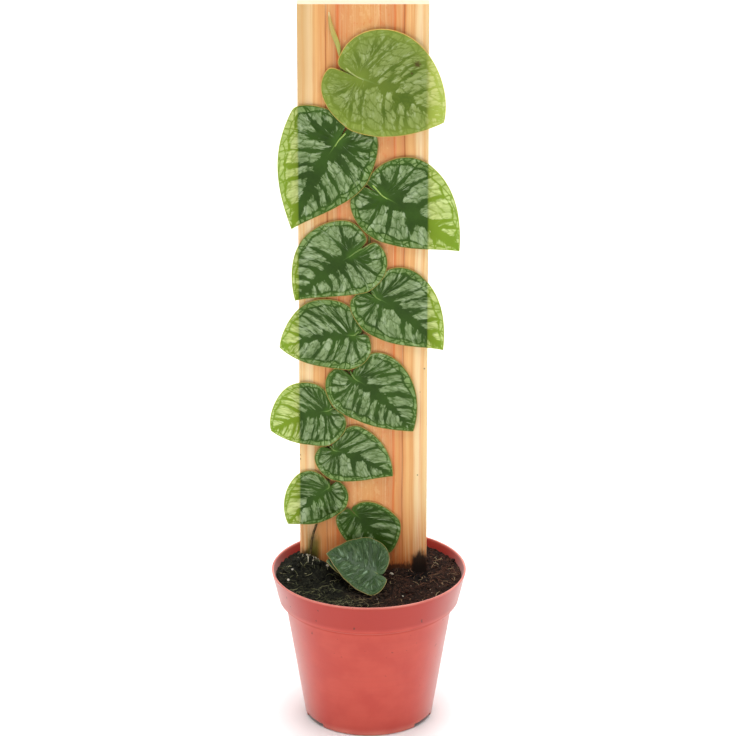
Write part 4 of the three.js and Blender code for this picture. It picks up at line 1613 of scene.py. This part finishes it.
        # painted sheen: the colour turns pale towards the pot's sides as they turn away from the view, kept
        # off the shaded step
        g.coat(facing.span(0.35, 1.0, 0.0, 0.7) * (1.0 - shaded_step), (212, 168, 162))
        g.coat(crumbs.span(0.755, 0.78) * z.span(40, 90, 0.15, 0.8), (84, 44, 34))
        roughness = cloud.span(0.3, 0.7, 0.4, 0.5) + shaded_step * 0.5
        return g.finished(grain["Grain"] * 0.6 + rings * 0.5, 0.05, Roughness=roughness,
                          Specular_IOR_Level=0.35, Sheen_Weight=0.15, Sheen_Roughness=0.4,
                          Sheen_Tint=tint((255, 232, 228)))


def rounded_profile(corners: Sequence[Triple], steps: int) -> Array:
    """A line through corners, each cut back by its own fillet and rounded there.

    Each corner becomes a quadratic curve between two points that lie the fillet's length along its
    two sides, or less on a short side.

    Args:
        corners: radius, height and fillet of each corner; a fillet of 0 stays sharp.
        steps: points on each fillet.

    Returns:
        The line's points.
    """
    given = np.array(corners, float)
    points, fillets = given[:, :2], given[:, 2]
    line = [points[:1]]
    u = np.linspace(0.0, 1.0, steps)[:, None]
    for before, corner, after, fillet in zip(points[:-2], points[1:-1], points[2:], fillets[1:-1]):
        arms = [other - corner for other in (before, after)]
        ends = [corner + arm * min(fillet / np.linalg.norm(arm), 0.45) for arm in arms]
        line.append((1 - u) ** 2 * ends[0] + 2 * u * (1 - u) * corner + u**2 * ends[1])
    line.append(points[-1:])
    return np.concatenate(line)


@dataclass
class Soil:
    """The potting soil: its lumpy surface, and the grains and fibres that lie on it.

    Each of the mounds has its middle, its spread in x and y, and its height. crumb is the width,
    layers, height and sinking of the coarse crumb, and grit the width, layers and height of the fine
    one. board_room is where the board stands, in x and in y. white_lumps are the x, y and radius of
    the larger white grains, tufts the x, y, spread in x and y, and count of the threads that lie
    together, and straws the x, y, length and heading of the longest ones. mossy and reddish are the
    fibres' colours at the left and the right, at the stops that pick lists. root_fan is the first and
    last x of the roots at the stem's foot and how far they reach, and dark_spot is the middle of a
    near-black place.
    """

    edge: float = 91.0
    crown: float = 2.5
    roughness: float = 0.5
    mounds: tuple[Row, ...] = ((-38, -2, 13, 10, 12.5), (33, 0, 5, 4, -4))
    crumb: tuple[float, int, float, float] = (2.6, 3, 1.3, 0.6)
    grit: tuple[float, int, float] = (0.9, 2, 0.35)
    board_room: tuple[Pair, Pair] = ((-44, 37), (2.5, 14.5))
    radius: float = 57.2
    rings: int = 140
    segments: int = 360
    seed: int = 5
    grains: int = 900
    stone_grid: tuple[int, int] = (5, 7)
    small_white: int = 26
    white_lumps: tuple[Triple, ...] = (
        (-25.6, -3.0, 1.0), (14.0, -5.0, 1.2), (-47.0, -8.0, 0.7), (-49.5, -14.0, 0.8),
    )
    fibres: int = 760
    fibre_steps: int = 8
    thread_sides: int = 5
    tufts: tuple[tuple[float, float, float, float, int], ...] = (
        (-14.0, -43.0, 8.0, 2.5, 70), (41.0, -9.0, 4.0, 5.0, 40), (52.0, 4.0, 3.0, 5.0, 30),
        (-36.0, -30.0, 9.0, 4.0, 40),
    )
    straws: tuple[Row, ...] = (
        (-16.0, -45.0, 11, 0.35), (-12.5, -43.5, 9, 0.1), (-20.0, -42.0, 8, 0.6), (-9.0, -46.5, 7, -0.3),
        (29.0, -15.0, 9, 2.2), (33.0, -12.0, 7, 1.2),
    )
    pick: tuple[float, ...] = (0.0, 0.4, 0.75, 0.93, 1.0)
    mossy: tuple[RGB, ...] = ((34, 34, 22), (58, 60, 38), (92, 94, 66), (128, 126, 92), (164, 160, 124))
    reddish: tuple[RGB, ...] = ((40, 26, 18), (76, 46, 35), (104, 70, 52), (134, 112, 84), (160, 144, 110))
    roots: int = 10
    root_steps: int = 14
    root_fan: Triple = (-40.0, -32.0, 9.0)
    dark_spot: Pair = (32.0, -6.0)

    def top(self, x: Array, y: Array) -> Array:
        """Height of the smooth soil: a low crown, the bank round the stem, the hollow at the board's
        end, and lumps from crossed waves.

        Args:
            x: places.
            y: places.

        Returns:
            The height there.
        """
        share = np.hypot(x, y) / self.radius
        z = self.edge + self.crown * (1 - share**2)
        for centre_x, centre_y, spread_x, spread_y, height in self.mounds:
            z = z + height * np.exp(-(((x - centre_x) / spread_x) ** 2) - ((y - centre_y) / spread_y) ** 2)
        lumps = np.sin(x / 3.7 + 1.3) * np.cos(y / 4.3) + 0.6 * np.sin(x / 2.3 - y / 2.9)
        return z + self.roughness * lumps * (1 - share**4)

    def crumbled(self, x: Array, y: Array) -> Array:
        """The height with its crumb: layers of noise, with sharp little hollows between the crumbs.

        Args:
            x: places.
            y: places.

        Returns:
            The height there.
        """
        coarse, fine = LatticeNoise(self.seed), LatticeNoise(self.seed + 1)
        (wide, layers, height, sunk), (narrow, few, low) = self.crumb, self.grit
        crumb = np.abs(coarse.layers(x / wide, y / wide, layers)) * height - sunk
        return self.top(x, y) + crumb + low * fine.layers(x / narrow, y / narrow, few)

    def build(self, below: Sequence[Pair]) -> list[Piece]:
        """Makes the soil's plug and what lies on it.

        Args:
            below: radius and height of the plug's rings under its surface, down to its flat bottom.

        Returns:
            The plug, the dark crumbs, the white grains, the fibres and the roots.
        """
        share = np.linspace(0.0, 1.0, self.rings) ** 0.8
        flat = turned(np.stack([self.radius * share, np.zeros(self.rings)], -1), self.segments)
        x, y = flat[..., 0], flat[..., 1]
        z = self.crumbled(x, y)
        wall = turned(np.array([*below, (0.0, below[-1][1])]), self.segments)
        relief = np.concatenate([z - self.top(x, y), np.zeros(wall.shape[:2])])
        points = np.concatenate([np.stack([x, y, z], -1), wall])
        plug = sheet(points, closed=True, maps={"crumb": np.stack([relief, relief], -1)})
        return [plug.build("soil_surface", self.mould("potting_soil", True)), self.scatter_crumbs(),
                self.scatter_white(), self.scatter_fibres(), self.foot_roots()]

    def spots(self, rng: np.random.Generator, count: int, spread: float) -> tuple[Array, Array]:
        """Even random places on the soil, clear of the board.

        Args:
            rng: the draw.
            count: places wanted.
            spread: share of the radius that they fill.

        Returns:
            Their x and y.
        """
        reach = self.radius * spread * np.sqrt(rng.random(count * 2))
        turn = 2 * np.pi * rng.random(count * 2)
        x, y = reach * np.cos(turn), reach * np.sin(turn)
        (left, right), (front, back) = self.board_room
        clear = (y < front) | (y > back) | (x < left) | (x > right)
        return x[clear][:count], y[clear][:count]

    def blobs(self, rng: np.random.Generator, x: Array, y: Array, radii: Array, longer: float) -> Surface:
        """Rough little stones: each a sphere of few points with its own random dents and stretch,
        half sunk into the soil.

        Args:
            rng: the draw.
            x: places.
            y: places.
            radii: their sizes.
            longer: how much longer than wide they may be.

        Returns:
            One surface, with a map "tone" that holds a random number for each stone.
        """
        count, (rows, columns) = len(x), self.stone_grid
        polar, turn = np.linspace(0.0, np.pi, rows)[None, :, None], angles(columns)[None, None, :]
        shape = 1.0 + 0.5 * (rng.random((count, rows, columns)) - 0.5)
        shape[:, [0, -1]] = shape[:, [0, -1], :1]
        ball = (np.sin(polar) * np.cos(turn), np.sin(polar) * np.sin(turn), np.cos(polar))
        long, tall = 1 + longer * rng.random(count), 0.6 + 0.3 * rng.random(count)
        stretch = np.stack([long, np.ones(count), tall], -1)
        body = np.stack(np.broadcast_arrays(*ball), -1) * shape[..., None] * stretch[:, None, None]
        body = body * radii[:, None, None, None]
        heading = 2 * np.pi * rng.random(count)[:, None, None]
        across = body[..., 0] * np.cos(heading) - body[..., 1] * np.sin(heading) + x[:, None, None]
        along = body[..., 0] * np.sin(heading) + body[..., 1] * np.cos(heading) + y[:, None, None]
        height = body[..., 2] + (self.crumbled(x, y) + 0.15 * radii)[:, None, None]
        faces = grid_faces(rows, columns, True, count)
        tone = np.repeat(np.stack([rng.random(count), rng.random(count)], -1), rows * columns, axis=0)
        points = np.stack([across, along, height], -1).reshape(-1, 3)
        return Surface(points, faces, np.zeros(len(faces)), {"tone": tone})

    def scatter_crumbs(self) -> Piece:
        """Dark crumbs and bits of bark over the whole surface.

        Returns:
            The object.
        """
        rng = np.random.default_rng(self.seed)
        x, y = self.spots(rng, self.grains, 0.98)
        crumbs = self.blobs(rng, x, y, 0.5 + 0.9 * rng.random(len(x)) ** 2, 1.1)
        return crumbs.build("soil_crumbs", self.mould("soil_bits", False))

    def scatter_white(self) -> Piece:
        """White grains: small ones anywhere, and the four larger ones.

        Returns:
            The object.
        """
        rng = np.random.default_rng(self.seed + 20)
        x, y = self.spots(rng, self.small_white, 0.95)
        lump_x, lump_y, lump_size = np.array(self.white_lumps).T
        size = np.concatenate([0.2 + 0.3 * rng.random(len(x)), lump_size])
        grains = self.blobs(rng, np.concatenate([x, lump_x]), np.concatenate([y, lump_y]), size, 0.8)
        g = Dressing("white_grains")
        grain = g.group("fine_grain", Per_mm=1.5, Seed=3.0)["Grain"]
        g.colour = g.blend(g.uv("tone")[0], (206, 200, 184), (150, 140, 120))
        g.coat(grain.span(0.45, 0.65, 0.0, 0.5), (120, 104, 84))
        return grains.build("white_grains", g.finished(grain, 0.2, Roughness=0.85, Specular_IOR_Level=0.2))

    def scatter_fibres(self) -> Piece:
        """Fibres and straw: short bent threads that lie on the crumb, each an arc with a slight lift.

        Returns:
            The object.
        """
        rng = np.random.default_rng(self.seed + 40)
        x, y = self.spots(rng, self.fibres, 0.94)
        tuft_x = [rng.normal(at_x, wide, many) for at_x, _, wide, _, many in self.tufts]
        tuft_y = [rng.normal(at_y, deep, many) for _, at_y, _, deep, many in self.tufts]
        straw_x, straw_y, straw_length, straw_heading = np.array(self.straws).T
        x, y = np.concatenate([x, *tuft_x, straw_x]), np.concatenate([y, *tuft_y, straw_y])
        count, straws, tufted = len(x), len(self.straws), sum(many for *_, many in self.tufts)
        length = np.concatenate([2.0 + 7.0 * rng.random(count - straws) ** 2, straw_length])
        heading = np.concatenate([2 * np.pi * rng.random(count - straws), straw_heading])
        bend = (rng.random(count) - 0.5) * 2.6
        run = np.linspace(-0.5, 0.5, self.fibre_steps)[None]
        turn = heading[:, None] + bend[:, None] * run
        px = x[:, None] + length[:, None] * run * np.cos(turn)
        py = y[:, None] + length[:, None] * run * np.sin(turn)
        held = np.minimum(1.0, (self.radius - 1.2) / np.hypot(px, py))
        px, py = px * held, py * held
        pz = self.crumbled(px, py) * 0.35 + self.crumbled(x, y)[:, None] * 0.65 + 0.45 + 0.8 * (0.25 - run**2)
        thick = (0.08 + 0.15 * rng.random(count) ** 2)[:, None] * np.sqrt(np.clip(1 - (2 * run) ** 4, 0, 1))
        tone = rng.random(count)
        tone[-straws - tufted :] = 0.4 + 0.5 * tone[-straws - tufted :]
        tone[-straws:] = 0.97
        g = Dressing("soil_fibres")
        place, picked = g.place()[0], g.uv("tone")[0]
        mossy, reddish = (g.ramp(picked, list(zip(self.pick, tones))) for tones in (self.mossy, self.reddish))
        g.colour = g.blend(place.span(-22.0, 18.0), mossy, reddish)
        made = self.threads(np.stack([px, py, pz], -1), thick, tone)
        return made.build("soil_fibres", g.finished(Roughness=0.8, Specular_IOR_Level=0.2))

    def threads(self, path: Array, radius: Array, tone: Array) -> Surface:
        """Thin round threads, all at once: rings of few points, square to each path.

        Args:
            path: centre points, threads by steps by 3.
            radius: radius at each of them.
            tone: a number for each thread, kept in the map "tone".

        Returns:
            One surface.
        """
        count, steps, sides = *path.shape[:2], self.thread_sides
        ahead = unit(np.gradient(path, axis=1))
        right = unit(np.cross(ahead, np.array([0.0, 0.0, 1.0])))
        up = np.cross(right, ahead)[:, :, None]
        angle = angles(sides)[None, None, :, None]
        ring = np.cos(angle) * right[:, :, None] + np.sin(angle) * up
        points = path[:, :, None] + radius[..., None, None] * ring
        faces = grid_faces(steps, sides, True, count)
        picks = np.repeat(np.stack([tone, tone], -1), steps * sides, axis=0)
        return Surface(points.reshape(-1, 3), faces, np.zeros(len(faces)), {"tone": picks})

    def foot_roots(self) -> Piece:
        """Pale roots that leave the stem's foot and run forward down the bank of soil, each swaying
        by a sine of its own.

        Returns:
            The object.
        """
        rng = np.random.default_rng(self.seed + 60)
        (first_x, last_x, reach), count = self.root_fan, self.roots
        run = np.linspace(0.0, 1.0, self.root_steps)[None]
        x0 = np.linspace(first_x, last_x, count) + rng.normal(0, 0.4, count)
        spread = (x0 - (first_x + last_x) / 2) * 0.3 + rng.normal(0, 1.2, count)
        x = x0[:, None] + spread[:, None] * run + 0.35 * np.sin(5 * run + 6 * rng.random((count, 1))) * run
        y = 2.2 - rng.random((count, 1)) - reach * (0.3 + 0.9 * rng.random((count, 1))) * run
        z = self.crumbled(x, y) * 0.5 + self.top(x, y) * 0.5 + 0.5 - 0.4 * run**4
        thick = (0.16 + 0.14 * rng.random(count))[:, None] * np.sqrt(1 - run**6)
        made = self.threads(np.stack([x, y, z], -1), thick, rng.random(count))
        g = Dressing("pale_root")
        worn = g.noise([axis * 0.8 for axis in g.place()], 3.0)
        g.colour = g.blend(worn.span(0.42, 0.6), (196, 190, 168), (96, 82, 62))
        return made.build("foot_roots", g.finished(worn, 0.1, Roughness=0.7, Specular_IOR_Level=0.2))

    def mould(self, name: str, has_relief: bool) -> Material:
        """Damp soil, with painted shade in the hollows between its crumbs and near black at the dark spot,
        with a greenish cast at the left and a reddish one at the right.

        Args:
            name: the material's name.
            has_relief: True where the piece has the map "crumb", the height over the smooth soil.

        Returns:
            The material.
        """
        g = Dressing(name)
        x, y, _ = g.place()
        grain = g.group("fine_grain", Per_mm=1.3, Seed=9.0)
        fine = g.group("fine_grain", Per_mm=4.0, Seed=2.0)["Grain"]
        side = (x + grain["Cloud"].wave(50.0)).span(-18.0, 22.0)
        lightness = grain["Grain"].span(0.42, 0.7)
        if has_relief:
            # painted shade: the soil darkens in the hollows between its crumbs
            lightness = g.uv("crumb")[0].span(-0.5, 1.0, 0.1, 1.0) * (lightness + 0.25)
        deep, dry = g.blend(side, (14, 15, 11), (20, 14, 11)), g.blend(side, (54, 54, 40), (80, 50, 37))
        g.colour = g.blend(lightness, deep, dry)
        g.coat(fine.span(0.6, 0.7) * 0.45, g.blend(side, (104, 104, 80), (124, 88, 66)))
        # a near-black place in front of the board's right end
        off = g.away(x, y, self.dark_spot) + grain["Cloud"].wave(12.0)
        g.coat(off.span(12.0, 6.0, 0.0, 0.85), (9, 8, 7))
        return g.finished(grain["Grain"] + fine * 0.5, 0.7, Roughness=0.92, Specular_IOR_Level=0.15)


@dataclass
class Foliage:
    """All leaves: how those on the board lie over the stem and over each other, and the free ones."""

    shingles: list[BoardLeaf]
    loose: list[FreeLeaf]
    stem: Stem
    board_front: float

    def bed(self, points: Array) -> Array:
        """Height of the first clear surface over the board: a slight sway, raised over the stem.

        Args:
            points: x and z of the places.

        Returns:
            Heights over the board's face.
        """
        over_stem = self.stem.gap + 2 * self.stem.seat
        to_stem = distance_to_line(points, np.array(self.stem.path)) - (self.stem.seat - self.stem.gap)
        x, z = points.T
        sway = RULES.sway * (1 + np.sin(x / 9 + z / 14) * np.cos(x / 17 - z / 11)) / 2
        rise = (over_stem - RULES.rest_height) * ease(1 - to_stem / RULES.stem_ramp)
        return RULES.rest_height + sway + rise

    def height(self, index: int, points: Array) -> Array:
        """Height of a board leaf's underside: the bed, raised with an eased ramp where the next
        lower leaf or its petiole lies under it, and lifted by the square of the way to its far end.

        Args:
            index: which leaf, 0 for the top one.
            points: x and z of the places.

        Returns:
            Heights over the board's face.
        """
        leaf, height = self.shingles[index], self.bed(points)
        if index + 1 < len(self.shingles):
            lower = self.shingles[index + 1]
            ring = lower.ring()
            to_petiole = np.clip(distance_to_line(points, lower.petiole_line()) - PETIOLES.radius, 0, None)
            to_blade = np.where(inside(points, ring), 0.0, distance_to_line(points, ring))
            cover = ease(1 - np.minimum(to_blade, to_petiole) / RULES.overlap_ramp)
            ridge = PETIOLES.clearance * ease(1 - to_petiole / PETIOLES.ramp)
            above = self.height(index + 1, points) + RULES.thickness + RULES.overlap_gap + ridge
            height = height + cover * np.clip(above - height, 0, None)
        far = np.hypot(points[:, 0] - leaf.x, points[:, 1] - leaf.z) / leaf.length
        return height + leaf.lift * far**2

    def on_board(self, points: Array, height: Array) -> Array:
        """Places x, z on the board at a height in front of it, in space."""
        return np.stack([points[:, 0], self.board_front - height, points[:, 1]], -1)

    def build_shingle(self, index: int) -> Piece:
        """Makes a board leaf with its petiole.

        Args:
            index: which leaf, 0 for the top one.

        Returns:
            The object.
        """
        leaf = self.shingles[index]

        def place(plane: Array, share: Array) -> Array:
            """Plane points and their faces in space."""
            spots = leaf.on_board(plane)
            return self.on_board(spots, self.height(index, spots) + share * RULES.thickness)

        line = leaf.petiole_line()
        root = leaf.on_board(np.array([[PETIOLES.root_in * leaf.length, 0.0]]))
        heights = self.height(index, line) + RULES.thickness / 2 + PETIOLES.proud
        heights[0] = self.stem.height
        end = self.height(index, root) + RULES.thickness / 2
        route = np.concatenate([self.on_board(line, heights), self.on_board(root, end)])
        return leaf.build(place, route, FROM_BOARD)

    def build_loose(self, leaf: FreeLeaf) -> Piece:
        """Makes a free leaf with its petiole."""
        root = leaf.place(np.array([[PETIOLES.root_in * leaf.length, 0.0]]), 0.5)
        return leaf.build(leaf.place, np.array([*leaf.petiole[::-1], leaf.joint, *root]), SIDEWAYS)


BOARD_LEAVES = [
    BoardLeaf("leaf_01", 57.6,
              Side(16, 9.5, 13, 36.5, 76, (0.109, 0.233, 0.371, 0.508, 0.626, 0.725, 0.823, 0.921)),
              Side(18.5, 8, 12.5, 29.5, 57, (0.107, 0.242, 0.37, 0.508, 0.646, 0.764, 0.872)),
              YOUNG, 0.3, lift=3.5, x=-6.4, z=411.3, turn=-28,
              petiole=((-16.8, 422.2), (-13.2, 417.2))),
    BoardLeaf("leaf_02", 62,
              Side(15.5, 6.5, -4.5, 33, 46, (0.086, 0.18, 0.338, 0.482, 0.605, 0.763, 0.901)),
              Side(14.5, 15.5, 12, 26.5, 30, (0.131, 0.258, 0.415, 0.532, 0.644, 0.756, 0.883)),
              SILVERED, 4.1, 1.7, lift=1, x=-18.3, z=371.7, turn=-116.9,
              petiole=((-11.5, 380), (-14.2, 376.8))),
    BoardLeaf("leaf_03", 57.4,
              Side(14.5, 4.5, 9.5, 32.5, 57, (0.106, 0.208, 0.337, 0.455, 0.559, 0.703, 0.832, 0.931)),
              Side(15.5, 8.5, 8.5, 24, 29, (0.097, 0.205, 0.372, 0.509, 0.661, 0.804, 0.921)),
              SILVERED, 8.6, 1.9, lift=1.5, x=8.4, z=337.2, turn=-36.9,
              petiole=((-2.2, 348.5), (2.6, 344.2))),
    BoardLeaf("leaf_04", 45,
              Side(15, 10, 10.5, 27.5, 65, (0.098, 0.217, 0.344, 0.471, 0.648, 0.78, 0.902)),
              Side(17, 6.5, 0, 23.5, 25, (0.085, 0.213, 0.366, 0.479, 0.587, 0.705, 0.848, 0.941)),
              AGED, 13.2, 1.6, lift=0.8, x=-10.1, z=299.9, turn=-139.7,
              petiole=((0.4, 306), (-4.6, 304.2))),
    BoardLeaf("leaf_05", 52.5,
              Side(7.5, 12, 10.5, 27.5, 55, (0.098, 0.204, 0.322, 0.43, 0.563, 0.735, 0.877)),
              Side(11, 10.5, 10.5, 20.5, 28, (0.088, 0.197, 0.315, 0.433, 0.653, 0.834, 0.932)),
              AGED, 17.9, 1.15, lift=1.2, x=4.9, z=273, turn=-40.2,
              petiole=((0.6, 277.5), (2.4, 276))),
    BoardLeaf("leaf_06", 45.9,
              Side(5.5, 6, 19, 26, 76, (0.088, 0.2, 0.289, 0.427, 0.575, 0.714, 0.857)),
              Side(9, 7.5, 3.5, 20.5, 55, (0.11, 0.234, 0.44, 0.538, 0.666, 0.833, 0.921)),
              AGED, 21.4, 0.7, lift=0.8, x=-9, z=249.2, turn=-169.1,
              petiole=((-4.8, 252.5), (-6.4, 251.4))),
    BoardLeaf("leaf_07", 49.6,
              Side(5, 15, 11.5, 26, 63, (0.064, 0.149, 0.36, 0.483, 0.655, 0.837, 0.931)),
              Side(13.5, 7.5, 4.5, 21.5, 43, (0.087, 0.195, 0.411, 0.509, 0.647, 0.764, 0.872)),
              AGED, 26.7, 0.8, lift=0.8, x=-8.4, z=220.6, turn=-44.3,
              petiole=((-12, 227), (-10.6, 224.2))),
    BoardLeaf("leaf_08", 37.4,
              Side(3.5, 9, 14, 23.5, 86, (0.086, 0.21, 0.338, 0.447, 0.575, 0.748, 0.882)),
              Side(8, 8.5, 6.5, 20, 61, (0.099, 0.226, 0.442, 0.603, 0.716, 0.789, 0.863)),
              AGED, 31.1, 1.0, lift=0.8, x=-24.8, z=199.7, turn=-158.9,
              petiole=((-19, 203), (-21.8, 201.6))),
    BoardLeaf("leaf_09", 40.3,
              Side(2.5, 6, 8.5, 20.5, 65, (0.087, 0.208, 0.326, 0.455, 0.579, 0.703, 0.871)),
              Side(9, 7, 6.5, 17.5, 30, (0.109, 0.289, 0.382, 0.471, 0.618, 0.784, 0.873)),
              AGED, 35.5, 0.8, lift=0.6, x=-21.3, z=174, turn=-26.4,
              petiole=((-25, 178), (-23.2, 176.2))),
    BoardLeaf("leaf_10", 35.7,
              Side(2.5, 7, 9.5, 19, 70, (0.086, 0.199, 0.406, 0.575, 0.723, 0.921)),
              Side(7, 4.5, 4.5, 17, 49, (0.109, 0.311, 0.448, 0.537, 0.695, 0.862)),
              AGED, 39.8, 0.7, lift=0.6, x=-24.4, z=149.5, turn=-135.2,
              petiole=((-24.6, 153), (-24.6, 151.4))),
    BoardLeaf("leaf_11", 34.6,
              Side(3.6, 4, 20, 19, 96, (0.11, 0.248, 0.387, 0.555, 0.664, 0.792, 0.921)),
              Side(5.5, 8, 11, 15.4, 36, (0.131, 0.285, 0.412, 0.51, 0.667, 0.804, 0.922)),
              SHADED, 43.3, 2.2, lift=0.5, x=-9.1, z=131.5, turn=-51.6,
              petiole=((-28.8, 137), (-22, 136.4), (-15, 135.2), (-11, 133.6))),
]
FREE_LEAVES = [
    FreeLeaf("leaf_12", 34.8, Side(3.8, 6, 12.5, 21.8, 68), Side(8, 6, -1, 16, 36), GLOSSY, 47.7, lift=-2,
             joint=(5, -23.9, 102.6), along=(-0.898, 0.361, 0.253), inward=(-0.44, -0.735, -0.515),
             petiole=((4, -20, 99.5), (3, -17, 94), (3, -16, 84))),
    FreeLeaf("leaf_13", 22.3, Side(4, 5, 6, 11, 60), Side(5, 4, 6, 11, 50), GLOSSY, 52.2, lift=-0.5,
             joint=(-4, -13, 105.8), along=(-0.86, -0.02, 0.02), inward=(-0.1, -0.8, -0.55),
             petiole=((-2.5, -11.5, 102), (-2, -10.5, 96), (-2, -10.5, 84)), quilt=0.2),
]


@dataclass(frozen=True)
class Lamp:
    """A square soft light: its place and the point that it looks at, in millimetres, and its strength."""

    name: str
    place: Triple
    target: Triple
    size: float
    watts: float

    def hang(self) -> None:
        """Makes the light and turns it to its target."""
        light = bpy.data.lights.new(self.name, "AREA")
        light.shape, light.size, light.energy = "SQUARE", self.size * MM, self.watts
        made = bpy.data.objects.new(self.name, light)
        place, target = np.array(self.place) * MM, np.array(self.target) * MM
        made.location = place
        aim = unit(target - place)
        made.rotation_euler = (math.acos(-aim[2]), 0.0, math.atan2(-aim[0], aim[1]))
        bpy.context.scene.collection.objects.link(made)


@dataclass
class Studio:
    """The pale floor, the soft lights and the camera at the photograph's angle."""

    camera: Triple = (-0.53, -2303.0, 1127.0)
    pitch: float = 21.32
    lens: float = 199.66
    sensor: float = 36.0
    near: float = 0.05
    far: float = 60.0
    floor: float = 9000.0
    floor_drop: float = -0.3
    floor_tone: float = 0.95
    sky: float = 0.46
    lamps: tuple[Lamp, ...] = (
        Lamp("overhead_soft", (40, -350, 3600), (0, 0, 250), 2600, 135.0),
        Lamp("front_soft", (-900, -2800, 1700), (0, 0, 260), 1400, 5.0),
        Lamp("back_floor_wash", (200, 2000, 3000), (0, 1700, 0), 2400, 66.0),
    )

    def build(self) -> None:
        """Makes floor, lights, world and camera."""
        scene = bpy.context.scene
        half, low = self.floor / 2, self.floor_drop
        corners = [(x * half, y * half, low) for x, y in ((-1, -1), (1, -1), (1, 1), (-1, 1))]
        paint = Dressing("pale_floor").finished(Base_Color=(*[self.floor_tone] * 3, 1.0), Roughness=0.9,
                                                Specular_IOR_Level=0.1)
        ground = Surface(np.array(corners), np.array([[0, 1, 2, 3]]), np.zeros(1)).build("pale_floor", paint)
        for lamp in self.lamps:
            lamp.hang()
        world = bpy.data.worlds.new("studio_air")
        world.use_nodes = True
        background = world.node_tree.nodes["Background"]
        background.inputs[0].default_value = (1.0, 1.0, 1.0, 1.0)
        background.inputs[1].default_value = self.sky
        scene.world = world
        lens = bpy.data.cameras.new("viewpoint")
        lens.lens, lens.sensor_width = self.lens, self.sensor
        lens.clip_start, lens.clip_end = self.near, self.far
        eye = bpy.data.objects.new("viewpoint", lens)
        eye.location = [value * MM for value in self.camera]
        eye.rotation_euler = (math.radians(90.0 - self.pitch), 0.0, 0.0)
        scene.collection.objects.link(eye)
        scene.camera = eye
        scene.view_settings.view_transform = "Standard"


def seat(piece: Piece, node: str, slot: str) -> None:
    """Makes a piece ride on the plant's body in place of a CAD node.

    Args:
        piece: the piece.
        node: the node that it stands for.
        slot: not used.
    """
    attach(piece, BODY)
    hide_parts(node)
    LOG.info("%s stands for %s, %d faces", piece.name, node, len(piece.data.polygons))


def main() -> None:
    """Builds each sub-assembly in order and reports it."""
    logging.basicConfig(level=logging.INFO, format="%(message)s")
    build_vein_pattern()
    build_fine_grain()
    Studio().build()

    board = Board.from_frame()
    board.dress()
    LOG.info("board dressed as softwood")

    pot = Pot()
    seat(pot.build(), "pot", "plastic")
    for piece in Soil().build(pot.lining()):
        seat(piece, "soil", "soil")

    stem = Stem()
    seat(stem.build(board.front), "stem", "stem")
    seat(GrowingTip().build(board.front, stem), "growing_tip", "sheath")

    foliage = Foliage(BOARD_LEAVES, FREE_LEAVES, stem, board.front)
    for index, leaf in enumerate(foliage.shingles):
        seat(foliage.build_shingle(index), leaf.name, "young_leaf" if index == 0 else "leaf")
    for leaf in foliage.loose:
        seat(foliage.build_loose(leaf), leaf.name, "old_leaf")


if __name__ == "__main__":
    main()
